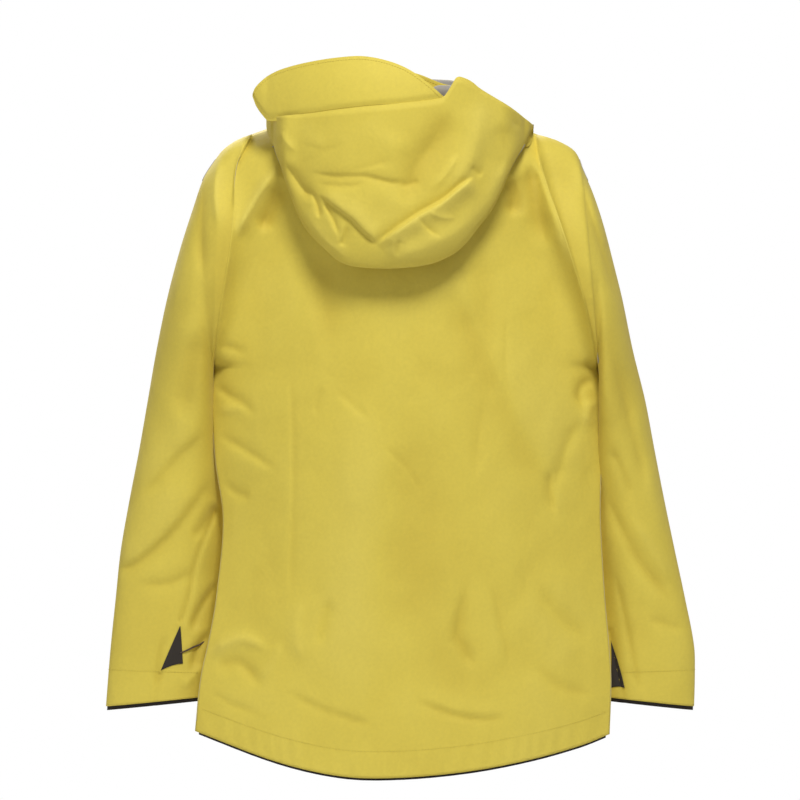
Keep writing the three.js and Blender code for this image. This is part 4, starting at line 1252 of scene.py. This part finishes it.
        word = self.side.word
        facing = loft(f"{word}_cuff_band", 110, 10, band, (self.wardrobe.get(DARK_FACING),), closed=True,
                      size=(0.25, 0.03), outward=middle)
        thicken(facing, 0.6 * MM)
        dress(facing, f"{word}_sleeve", "dark_facing", f"{word}_cuff_facing")
        u = np.linspace(0.0, 1.0, 160)
        line, out = row_on(self.surface, u, np.full(u.shape, 1 - 24 / length), self.inside)
        stitches(f"{word}_cuff_stitches", line, out, self.wardrobe.get(SEAM_THREAD), f"{word}_sleeve")

    def build_tab(self) -> None:
        """Build the cuff tab, a shaped strap on the front of the cuff."""
        word = self.side.word
        length = self.length
        low_u, high_u = (math.pi - 2.75) / (2 * math.pi), (math.pi - 1.1) / (2 * math.pi)

        def strap(u: Array, v: Array) -> Array:
            taper = 1 - 0.5 * (1 - u) ** 2.0 * smooth(0.35, 0, u)
            rise = self.tab_rise + self.tab_width * (0.5 + (v - 0.5) * taper)
            return lifted(self.surface, 1.9, self.inside)(mix(low_u, high_u, u), 1 - rise / length)

        tab = loft(f"{word}_tab_strap", 60, 14, strap, (self.wardrobe.get(SHELL_CLOTH),), size=(0.09, 0.026),
                   outward=Vector(to_row(np.array(self.inside))))
        solid = tab.modifiers.new("strap", "SOLIDIFY")
        solid.thickness, solid.offset = 1.3 * MM, -1.0
        bevel = tab.modifiers.new("edge", "BEVEL")
        bevel.width, bevel.segments, bevel.angle_limit = 0.35 * MM, 2, 1.0
        dress(tab, f"{word}_tab", "shell_fabric", f"{word}_cuff_tab")
        edge = np.linspace(0.04, 0.97, 60)
        for k, share in enumerate((0.1, 0.9)):
            line, out = row_on(strap, edge, np.full(edge.shape, share), self.inside)
            thread = self.wardrobe.get(SEAM_THREAD)
            stitches(f"{word}_tab_stitches_{k + 1}", line, out, thread, f"{word}_tab", 3.0)

    def build_gusset(self) -> None:
        """Build the dark wrist gusset, a pointed insert on the back of the sleeve."""
        word = self.side.word
        corners = {
            Side.LEFT: ((252, -596), (249, -640), (274, -648)),
            Side.RIGHT: ((-240, -612), (-240, -668), (-256, -668)),
        }[self.side]
        shares = [locate(self.surface, x, z, (0.5, 0.6), (1.0, 1.0)) for x, z in corners]

        def insert(u: Array, v: Array) -> Array:
            foot_u = mix(shares[1][0], shares[2][0], u)
            foot_v = mix(shares[1][1], shares[2][1], u)
            down = np.clip(0.03 + 0.97 * v, 0, 1)
            sag = 0.003 * np.sin(math.pi * u) * v
            return lifted(self.surface, 0.5, self.inside)(
                mix(shares[0][0], foot_u, down), mix(shares[0][1], foot_v, down) - sag
            )

        piece = loft(f"{word}_gusset", 24, 40, insert, (self.wardrobe.get(GUSSET_CLOTH),), size=(0.03, 0.06),
                     outward=Vector(to_row(np.array(self.inside))))
        thicken(piece, 0.3 * MM, offset=1.0)
        dress(piece, f"{word}_sleeve", "dark_facing", f"{word}_wrist_gusset")


    def build_cord(self) -> None:
        """Build the short pull cord of the left wrist gusset, sewn down at both ends."""
        route = np.array([
            lifted(self.surface, lift, self.inside)(*(np.array([share]) for share in spot))[0]
            for lift, spot in (
                (lift, locate(self.surface, x, z, (0.5, 0.6), (1.0, 1.0)))
                for x, z, lift in ((252, -628, 0.6), (245, -625, 1.5), (238, -621, 1.7), (231, -618, 1.7),
                                   (224, -614, 1.7), (217, -610, 1.7), (210, -606, 1.7))
            )
        ])
        legs = np.linalg.norm(np.diff(route, axis=0), axis=1)
        run = np.concatenate([[0], np.cumsum(legs)])
        fine = np.linspace(0, min(self.cord_length, run[-1]), 25)
        smoothed = to_row(np.stack([np.interp(fine, run, route[:, k]) for k in range(3)], axis=-1))
        line = bpy.data.curves.new("wrist_cord", "CURVE")
        line.dimensions = "3D"
        line.bevel_depth, line.bevel_resolution, line.use_fill_caps = 0.9 * MM, 4, True
        spline = line.splines.new("POLY")
        spline.points.add(len(smoothed) - 1)
        for point, place in zip(spline.points, smoothed):
            point.co = (*place, 1)
        line.materials.append(self.wardrobe.get(BRAID))
        cord = bpy.data.objects.new("wrist_cord", line)
        bpy.context.scene.collection.objects.link(cord)
        dress(cord, "left_sleeve", "cord", "left_wrist_cord")


# ---------------------------------------------------------------- collar, hood and brim


@dataclass
class Collar:
    """The stand-up collar, slumped behind the hood, with its lining."""

    wardrobe: Wardrobe
    height: Callable[[Array], Array] = field(
        default=through((-76, 16), (-62, 17), (-46, 20), (-20, 30), (10, 37), (45, 38), (76, 34))
    )
    front_top: float = 31.0

    def place(self, turn: Array, rise: Array, lift: float) -> Array:
        """Return points of the collar: turn 0 at the back, rise from its foot, lift off its inner face."""
        x = CUT.neck_half * np.sin(turn)
        back = np.cos(turn) > 0
        foot = np.where(back, top_height(x, True), top_height(x, False)) + 1.2
        ahead = smooth(-0.3, 0.8, -np.cos(turn))
        top = mix(self.height(x), self.front_top + 0.05 * x, ahead)
        z = mix(foot, top, rise)
        depth = np.where(back, neck_depth(x, True, z), neck_depth(x, False, z))
        flare = lift + 1.5 * np.sin(math.pi * rise) * np.sin(5 * turn + 1)
        reach = depth + flare * np.abs(np.cos(turn))
        return np.stack([x + flare * np.sin(turn), np.where(back, reach, -reach), z], axis=-1)

    def build(self) -> None:
        """Build the collar and its stitching."""
        limit = math.pi - math.asin(CUT.front_edge / CUT.neck_half)

        def around(u: Array, v: Array) -> Array:
            return self.place(mix(-limit, limit, u), v, 1.2)

        cloth, backer = self.wardrobe.get(SHELL_CLOTH), self.wardrobe.get(KNIT_BACKER)
        middle = (0.0, 0.0, 10.0)
        piece = loft("collar_stand", 200, 24, around, (cloth, backer), size=(0.42, 0.05),
                     outward=Vector(to_row(np.array(middle))))
        thicken(piece, 1.6 * MM)
        dress(piece, "shell", "shell_fabric", "collar", "collar_lining")
        u = np.linspace(0.02, 0.98, 200)
        line, out = row_on(around, u, np.full(u.shape, 0.9), middle)
        stitches("collar_stitches", line, out, self.wardrobe.get(SEAM_THREAD), "shell", 3.4)


# The hood's lower and upper outline, by x.
HOOD_BOTTOM = through(
    (-149, -30), (-141, -49), (-131, -66), (-122, -84), (-112, -107), (-102, -126), (-88, -144),
    (-74, -162), (-59, -175), (-34, -186), (3, -191), (45, -190), (68, -184), (87, -168), (102, -153),
    (113, -137), (121, -118), (129, -97), (137, -72), (141, -63), (146, -46), (151, -33), (154, -27),
)
HOOD_TOP = through(
    (-149, -26), (-125, -10), (-106, 1), (-89, 11), (-80, 18), (-72, 22), (-63, 23), (-57, 14), (-50, 3),
    (-44, -1), (-5, -6), (49, -11), (107, -17), (154, -20),
)
HOOD_FOLDS = Drape(
    (
        Fold(
            ((27, -164), (2, -146), (-22, -130), (-46, -116), (-66, -100), (-82, -88)), 5, -2.6, 1.3, 0.18, 9,
        ),
        Fold(((27, -164), (42, -150), (56, -136), (72, -124), (93, -108)), 5, -2.4, 1.3, 0.18, 6),
        Fold(((60, -140), (64, -156), (70, -166)), 4, -2.6, 1.2, 0.3, 2),
        Fold(((131, -72), (120, -88), (108, -104), (94, -110)), 6, -4.5, 1.4, 0.3),
        Fold(((100, -106), (94, -122), (92, -136)), 4, -3.6, 1.3, 0.3, 2),
        Fold(((88, -116), (78, -134), (70, -156)), 4, -3.0, 1.3, 0.3, 2.4),
        Fold(((103, -83), (73, -87), (42, -87), (12, -94), (-6, -94)), 4, -1.6, 1.2, 0.25, -1.8),
        Fold(((96, -95), (66, -98), (38, -96)), 4, -1.0, 1.2, 0.3, -0.8),
        Fold(((62, -84), (34, -78), (8, -72)), 4, -0.9, 1.2, 0.3, 0.7),
        Fold(((112, -52), (84, -58), (62, -50)), 4, -0.9, 1.2, 0.3),
        Fold(((80, -30), (50, -26), (30, -22)), 4, -0.7, 1.2, 0.3),
        Fold(((2, -100), (-10, -98), (-22, -94)), 4, -2.0, 1.2, 0.3, 1.2),
        Fold(((-59, -8), (-38, -46), (-14, -84), (-4, -126)), 15, -5, 1.6, 0.25),
        Fold(((-89, 8), (-88, -34), (-78, -70), (-44, -118)), 15, 5, 1.6, 0.25),
        Fold(((-66, -62), (-52, -84), (-34, -104)), 5, 1.8, 1.3, 0.3),
        Fold(((-77, -78), (-84, -82), (-92, -88)), 4, -2.4, 1.2, 0.3),
        Fold(((-112, -6), (-124, -22), (-136, -34)), 4, -2.0, 1.3, 0.3),
        Fold(((-112, -24), (-118, -56), (-108, -88)), 10, -3, 1.6, 0.3),
        Fold(((-134, -40), (-118, -78), (-96, -118), (-60, -152), (-14, -172), (24, -180)), 14, 4, 1.7, 0.2),
        Fold(((-18, -134), (-30, -148), (-46, -158)), 4, -2.0, 1.2, 0.3, 2),
        Fold(((-30, -128), (-44, -134), (-62, -136)), 4, 1.8, 1.2, 0.3),
        Fold(((2, -158), (4, -168), (6, -180)), 4, -1.8, 1.2, 0.3, 1.6),
        Fold(((104, -22), (100, -44), (84, -60)), 12, 1.6, 1.8, 0.3),
        Fold(((44, -20), (24, -44), (-14, -58)), 14, 1.8, 1.8, 0.3),
        Fold(((138, -34), (130, -48), (118, -60)), 5, 1.8, 1.4, 0.3),
        Fold(((58, -182), (88, -156), (110, -124)), 9, 3, 1.6, 0.3),
    ),
    ripple=1.9,
    seed=2.2,
    strength=1.3,
)


@dataclass
class Hood:
    """The hood, a soft bag hanging down the back, and its stiff brim.

    Attributes:
        wardrobe: the materials.
        half: half of its width.
        shift: how far it has slid to the wearer's left.
        bulge: how far its outer face stands off the back.
        edge_bulge: the same at its two ends.
        lies: gap between the bag and the back.
        edge_stitch: the brim's topstitching from its edge.
        brim_left: the brim's end on the wearer's left.
        brim_right: its other end.
        brim_seam: height of the brim's seam, by x.
        brim_top: height of its edge, by x.
    """

    wardrobe: Wardrobe
    half: float = 153.0
    shift: float = 2.0
    bulge: float = 55.0
    edge_bulge: float = 15.0
    lies: float = 5.0
    edge_stitch: float = 3.6
    brim_left: float = 168.0
    brim_right: float = -48.0
    brim_seam: Callable[[Array], Array] = field(
        default=through((-48, 0), (-44, -1.5), (-3, -7), (54, -12), (107, -18), (149, -21.5), (157, -14),
                        (164, -3.5), (168, 7))
    )
    brim_top: Callable[[Array], Array] = field(
        default=through((-48, 1), (-40, 8), (-32, 15), (-10, 31), (13, 41), (41, 47), (67, 46.5), (103, 42),
                        (134, 35), (150, 28), (160, 20), (165.5, 13.5), (168, 7.5))
    )

    def rest(self, x: Array, z: Array) -> Array:
        """Return the depth of the back's face under the hood."""
        side = np.abs(x)
        half = np.where(x > 0, BODY_EDGE[Side.LEFT](z), BODY_EDGE[Side.RIGHT](z))
        across = np.clip(side / half, 0, 1)
        hem = BACK_HEM(x)
        share = np.clip((z - hem) / (top_height(across * CUT.shoulder_half, True) - hem), 0, 1)
        plain = body_point(Side.LEFT, True, 0.0, np.minimum(across, 0.999), share)[:, 1]
        return np.maximum(plain, neck_depth(0.85 * x, True, z) + 3.0)

    def plain(self, u: Array, v: Array) -> Array:
        """Return the bag: u from the right end, v down the back from the neck, round and up outside."""
        x = mix(-self.half, self.half, u) * (1 - 0.5 * self.shift / self.half) + self.shift / 2
        ends = np.sqrt(np.clip(1 - ((x - self.shift / 2) / (self.half + 0.5)) ** 2, 0, 1))
        bottom, outer = HOOD_BOTTOM(x), HOOD_TOP(x)
        wing = smooth(45, 85, np.abs(x))
        seam = top_height(np.clip(x, -150, 150), True) + 6.0 - 30.0 * wing
        seam = mix(outer, seam, smooth(0, 0.35, ends))
        patch = smooth(-104, -62, x) * smooth(-8, -44, x)
        seam = mix(seam, 17.0, patch)
        inside = v < 0.5
        turn = math.pi * v
        inner_turn = 0.5 * math.pi * (2 * v) ** 1.6
        top = np.where(inside, seam, outer)
        swing = np.where(inside, np.sin(inner_turn), np.sin(turn))
        z = mix(top, bottom, np.clip(swing, 0, 1) ** 0.72)
        lowest = self.rest(x, np.minimum(bottom, seam) + 6.0)
        face = np.where(inside, np.maximum(self.rest(x, z), 0), lowest)
        stand = mix(self.edge_bulge, self.bulge, ends)
        out = np.where(inside, (1 - np.cos(inner_turn)) / 2, (1 - np.cos(turn)) / 2)
        hang = 10.0 * patch * smooth(-6, 14, z) * inside
        return np.stack([x, face + self.lies + stand * out + hang, z], axis=-1)

    def surface(self, u: Array, v: Array) -> Array:
        """Return the bag with its folds."""
        points = self.plain(u, v)
        outside = smooth(0.5, 0.62, v) * (0.25 + 0.75 * smooth(1.0, 0.93, v))
        ends = smooth(0, 0.06, u) * smooth(0, 0.06, 1 - u)
        points[:, 1] += HOOD_FOLDS.lift(points[:, 0], points[:, 2]) * outside * ends
        return points

    def brim(self, u: Array, v: Array) -> Array:
        """Return the brim's outer face: u from its right end, v up from its seam."""
        x = self.brim_across(u)
        low, high = self.brim_seam(x), self.brim_top(x)
        seat = np.clip(x, -self.half, 104)
        top = np.ones(seat.shape)
        root = self.plain((seat + self.half) / (2 * self.half), top)[:, 1]
        past = x - seat
        slope = root - self.plain((seat - 1 + self.half) / (2 * self.half), top)[:, 1]
        root = root + slope * past - 0.004 * past**2
        z = mix(low - 2.5, high, v)
        rise = np.maximum(z - low, -2.5)
        curl = -0.06 * rise - 0.0045 * rise**2
        return np.stack([x, root + curl + mix(-1.2, 0.7, smooth(0, 8, rise)), z], axis=-1)

    def brim_across(self, u: Array) -> Array:
        """Return the brim's x for a share from its right end, closer together at the ends."""
        return mix(self.brim_right, self.brim_left, 0.5 - 0.5 * np.cos(math.pi * u))

    def build(self) -> None:
        """Build and dress the bag, the brim and their stitching."""
        cloth, backer = self.wardrobe.get(SHELL_CLOTH), self.wardrobe.get(KNIT_BACKER)
        cavity = Vector(to_row(np.array((0.0, 112.0, -70.0))))
        bag = loft("hood_bag", 190, 230, self.surface, (cloth, backer), size=(0.32, 0.4), outward=cavity)
        place = np.array([v.co for v in bag.data.vertices]) / MM
        # Painted shade: the outer face gets painted fold shade and highlight, and the parts lying nearer the
        # back are painted a little darker.
        depth = HOOD_FOLDS.lift(place[:, 0], place[:, 2])
        mark_fold_shading(bag, np.where(place[:, 1] + LOOP_Y > 100, depth, -2), 18.0)
        thicken(bag, 0.9 * MM)
        dress(bag, "hood", "shell_fabric", "hood_centre", "hood_left", "hood_right")
        self.build_brim(cloth)

    def build_brim(self, cloth: bpy.types.Material) -> None:
        """Build the brim, thick enough to stand in for its stiffener, and the rows of stitching along it."""
        behind = (60.0, 60.0, 20.0)
        brim = loft("brim", 150, 36, self.brim, (cloth,), size=(0.23, 0.05),
                    outward=Vector(to_row(np.array(behind))))
        solid = brim.modifiers.new("body", "SOLIDIFY")
        solid.thickness, solid.offset = 2.2 * MM, -1.0
        bevel = brim.modifiers.new("edge", "BEVEL")
        bevel.width, bevel.segments, bevel.angle_limit = 0.9 * MM, 3, 1.0
        dress(brim, "hood", "shell_fabric", "hood_brim", "brim_stiffener")
        thread = self.wardrobe.get(SEAM_THREAD)
        u = np.linspace(0.04, 0.975, 220)
        x = self.brim_across(u)
        tall = np.maximum(self.brim_top(x) - self.brim_seam(x), 1.0)
        line, out = row_on(self.brim, u, np.clip(1 - self.edge_stitch / tall, 0.5, 1), behind)
        stitches("brim_stitches_1", line, out, thread, "hood", 3.2)
        u = np.linspace(0.03, 0.93, 200)
        line, out = row_on(self.brim, u, np.full(u.shape, 0.07), behind)
        stitches("brim_seam_stitches", line, out, thread, "hood", 3.2)


# ---------------------------------------------------------------- zips, pockets and small parts


@dataclass(frozen=True)
class ZipLine:
    """A zip's place: a frame in row millimetres with the zip along its third axis.

    Attributes:
        name: the zip's name.
        origin: the frame's origin.
        side: its first axis.
        inward: its second axis, towards the body.
        along: its third axis.
        low: where the teeth start.
        high: where they end.
    """

    name: str
    origin: tuple[float, float, float]
    side: tuple[float, float, float]
    inward: tuple[float, float, float]
    along: tuple[float, float, float]
    low: float
    high: float

    def matrix(self) -> Matrix:
        """Return the frame as a matrix from millimetres to row metres."""
        axes = Matrix((self.side, self.inward, self.along)).transposed().to_4x4()
        return Matrix.Translation(Vector(self.origin) * MM) @ axes @ Matrix.Scale(MM, 4)


FRONT_ZIP = ZipLine(
    "main", (0, -111.748, -697.65), (1, 0, 0), (0, 0.99984, -0.018), (0, 0.018, 0.99984), 2, 731,
)
POCKET_ZIPS = (
    ZipLine("left_pocket", (129.357, -94.981, -539.18), (0.9254, 0.3273, 0.1912), (-0.3283, 0.9442, -0.0273),
            (-0.1895, -0.0375, 0.9812), -88, 88),
    ZipLine("right_pocket", (-129.357, -94.981, -539.18), (0.9254, -0.3273, -0.1912),
            (0.3283, 0.9442, -0.0273), (0.1895, -0.0375, 0.9812), -88, 88),
    ZipLine("chest_pocket", (92.05, -109.353, -203.252), (0.9999, 0.0122, 0.0002), (-0.0122, 0.9998, 0.0175),
            (0, -0.0175, 0.9998), -60, 60),
)


@dataclass
class Fastenings:
    """The zips' coils, the pocket bags, the flap behind the front zip and the locker loop.

    Attributes:
        wardrobe: the materials.
        coil_pitch: distance between two turns of a coil.
        coil_in: a coil's inner edge from the zip line.
        coil_wide: a coil's width.
        coil_deep: half of its depth.
    """

    wardrobe: Wardrobe
    coil_pitch: float = 1.5
    coil_in: float = 0.6
    coil_wide: float = 2.1
    coil_deep: float = 1.32

    def build(self) -> None:
        """Build and dress every piece."""
        for zip_line in (FRONT_ZIP, *POCKET_ZIPS):
            self.build_coils(zip_line)
        self.build_bag("left_pocket", Side.LEFT, (0.213, 0.792), (0.063, 0.381))
        self.build_bag("right_pocket", Side.RIGHT, (0.213, 0.792), (0.063, 0.381))
        self.build_bag("chest_pocket", Side.LEFT, (0.102, 0.587), (0.619, 0.824))
        self.build_flap()
        self.build_loop()

    def build_coils(self, zip_line: ZipLine) -> None:
        """Build a zip's two coils, one turn at a time."""
        bm = bmesh.new()
        count = int((zip_line.high - zip_line.low) / self.coil_pitch)
        for flank in (1, -1):
            for i in range(count):
                along = zip_line.low + (i + (0.25 if flank > 0 else 0.75)) * self.coil_pitch
                place = Matrix.Translation((flank * (self.coil_in + self.coil_wide / 2), 0, along))
                shape = Matrix.Diagonal((self.coil_wide / 2, self.coil_deep, 0.36 * self.coil_pitch, 1))
                whole = zip_line.matrix() @ place @ Matrix.Rotation(0.16 * flank, 4, "Y") @ shape
                bmesh.ops.create_icosphere(bm, subdivisions=1, radius=1.0, matrix=whole)
        coils = finish_mesh(f"{zip_line.name}_coils", bm, [self.wardrobe.get(ZIP_TAPE)])
        dress(coils, "shell", "zip_tape")

    def build_bag(self, name: str, side: Side, wide: tuple[float, float], tall: tuple[float, float]) -> None:
        """Build a pocket bag inside a front panel, between two shares of its width and height."""
        panel = lifted(part_of(front_surface(side), *wide, *tall), -3.2, TORSO_MIDDLE)

        def hang(u: Array, v: Array) -> Array:
            points = panel(u, v)
            points[:, 1] += 1.6 * np.sin(math.pi * u) * np.sin(math.pi * v)
            return points

        bag = loft(f"{name}_lining", 50, 70, hang, (self.wardrobe.get(KNIT_BACKER),), size=(0.12, 0.2),
                   outward=Vector(to_row(np.array(TORSO_MIDDLE))))
        thicken(bag, 0.8 * MM)
        dress(bag, "shell", "backer_fabric", f"{name}_bag")

    def build_flap(self) -> None:
        """Build the flap that lies behind the front zip."""
        to_metres = FRONT_ZIP.matrix()

        def strip(u: Array, v: Array) -> Array:
            x, z = mix(-12, 18, u), mix(29, 612, v)
            wave = 0.35 * np.sin(z / 31) * smooth(0.7, 0, u)
            y = mix(3.5, 1.3, smooth(0.86, 1.0, u)) + wave
            local = np.stack([x, y, z, np.ones(x.shape)], axis=-1)
            return (local @ np.array(to_metres).T)[:, :3] / MM + np.array([0, LOOP_Y, 0])

        flap = loft("zip_flap", 24, 180, strip, (self.wardrobe.get(SHELL_CLOTH),), size=(0.03, 0.58),
                    outward=Vector((0, -0.5, -0.3)))
        thicken(flap, 0.8 * MM, offset=1.0)
        dress(flap, "shell", "shell_fabric", "storm_flap")

    def build_loop(self) -> None:
        """Build the locker loop, a folded strap across the back of the neck."""

        def strap(u: Array, v: Array) -> Array:
            x = mix(-25.2, 25.2, u)
            corner = np.clip((np.abs(x) - 21) / 4.2, 0, 1)
            z = 1.45 - 10.5 * np.where(corner >= 1, 1, 1 - np.sqrt(1 - corner**2)) * smooth(0.9, 1.0, corner)
            z = z - 2.2 * (1 - np.sqrt(np.clip(1 - corner**2, 0, 1)))
            y = LOOP_Y + mix(-5, 5, v) + 0.25 * np.sin(9 * u)
            return np.stack([x, y, z], axis=-1)

        loop = loft("neck_loop", 120, 12, strap, (self.wardrobe.get(LOOP_TAPE),), size=(0.07, 0.01),
                    outward=Vector((0, 0, -0.05)))
        thicken(loop, 1.4 * MM)
        dress(loop, "shell", "dark_facing", "hang_loop")

def refinish_nodes(wardrobe: Wardrobe) -> None:
    """Give every node that is kept from the frame its finish."""
    finishes = {"tape": ZIP_TAPE, "_zip": ZIP_TAPE, "slider": SLIDER_METAL}
    for name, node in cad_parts.items():
        fits = (finish for word, finish in finishes.items() if word in name and "box" not in name)
        finish = next(fits, BLACK_PLASTIC)
        for place in node.material_slots:
            place.material = wardrobe.get(finish)


# ---------------------------------------------------------------- the room


@dataclass
class Studio:
    """A pale floor, soft light and the camera."""

    distance: float = 8.0
    height: float = -0.339
    view_width: float = 0.904
    floor_z: float = -1.0

    def build(self) -> None:
        """Build the room."""
        self.build_camera()
        self.build_floor()
        self.build_world()
        self.add_light("key", (-0.35, 2.3, 2.3), 1.0, 108.0)
        self.add_light("fill", (2.6, 2.2, 0.0), 2.6, 12.0)
        self.add_light("front", (0.8, -2.6, 1.6), 1.8, 90.0)
        bpy.context.scene.view_settings.view_transform = "Standard"

    def build_camera(self) -> None:
        """Build the camera, level and square to the back."""
        camera = bpy.data.cameras.new("camera")
        camera.sensor_width = 36.0
        camera.lens = camera.sensor_width * (self.distance - 0.03) / self.view_width
        camera.clip_end = 50.0
        holder = bpy.data.objects.new("camera", camera)
        holder.location = (0.001, self.distance, self.height)
        holder.rotation_euler = (math.pi / 2, 0, math.pi)
        bpy.context.scene.collection.objects.link(holder)
        bpy.context.scene.camera = holder

    def build_floor(self) -> None:
        """Build the floor."""
        bm = bmesh.new()
        bmesh.ops.create_circle(bm, cap_ends=True, segments=96, radius=1.25)
        bmesh.ops.translate(bm, verts=bm.verts, vec=(0, 0, self.floor_z))
        material = bpy.data.materials.new("floor_paint")
        material.use_nodes = True
        g = Graph(material.node_tree)
        surface = material.node_tree.nodes["Principled BSDF"]
        place = g.node("ShaderNodeTexCoord").outputs["Object"]
        grain = g.node("ShaderNodeTexNoise", Vector=place, Scale=30.0)
        tone = g.blend(grain.outputs[0], (0.78, 0.78, 0.77, 1), (0.84, 0.84, 0.83, 1))
        material.node_tree.links.new(tone, surface.inputs["Base Color"])
        surface.inputs["Roughness"].default_value = 0.8
        finish_mesh("floor", bm, [material])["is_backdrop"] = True

    def build_world(self) -> None:
        """Light the room evenly, white where the camera sees it."""
        world = bpy.data.worlds.new("room")
        world.use_nodes = True
        world.node_tree.nodes.clear()
        bpy.context.scene.world = world
        g = Graph(world.node_tree)
        seen = g.node("ShaderNodeLightPath").outputs["Is Camera Ray"]
        lit = g.node("ShaderNodeBackground", Color=(1.0, 0.965, 0.87, 1), Strength=0.35)
        white = g.node("ShaderNodeBackground", Color=(1, 1, 1, 1), Strength=1.0)
        both = g.node("ShaderNodeMixShader", i0=seen, i1=lit.outputs[0], i2=white.outputs[0])
        g.node("ShaderNodeOutputWorld", Surface=both.outputs[0])

    def add_light(self, name: str, place: tuple[float, float, float], size: float, power: float) -> None:
        """Add a soft light that looks at the jacket."""
        lamp = bpy.data.lights.new(name, "AREA")
        lamp.shape, lamp.size, lamp.energy = "DISK", size, power
        holder = bpy.data.objects.new(name, lamp)
        holder.location = place
        aim = Vector((0, 0, -0.35)) - Vector(place)
        holder.rotation_euler = aim.to_track_quat("-Z", "Y").to_euler()
        bpy.context.scene.collection.objects.link(holder)


def write_sizes() -> None:
    """Work out the box of the frame and of the looks; nothing is written."""

    def plain(box: object) -> list:
        return [[float(value) for value in corner] for corner in box]

    {"cad": plain(CAD_BOX), "visual": plain(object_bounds())}


def main() -> None:
    """Build the jacket and its room."""
    logging.basicConfig(level=logging.INFO, format="%(message)s")
    Studio().build()
    wardrobe = Wardrobe()
    fastenings = Fastenings(wardrobe)
    fastenings.build()
    refinish_nodes(wardrobe)
    Torso(wardrobe).build()
    for side in Side:
        Sleeve(side, wardrobe).build()
    Collar(wardrobe).build()
    Hood(wardrobe).build()
    write_sizes()


if __name__ == "__main__":
    main()
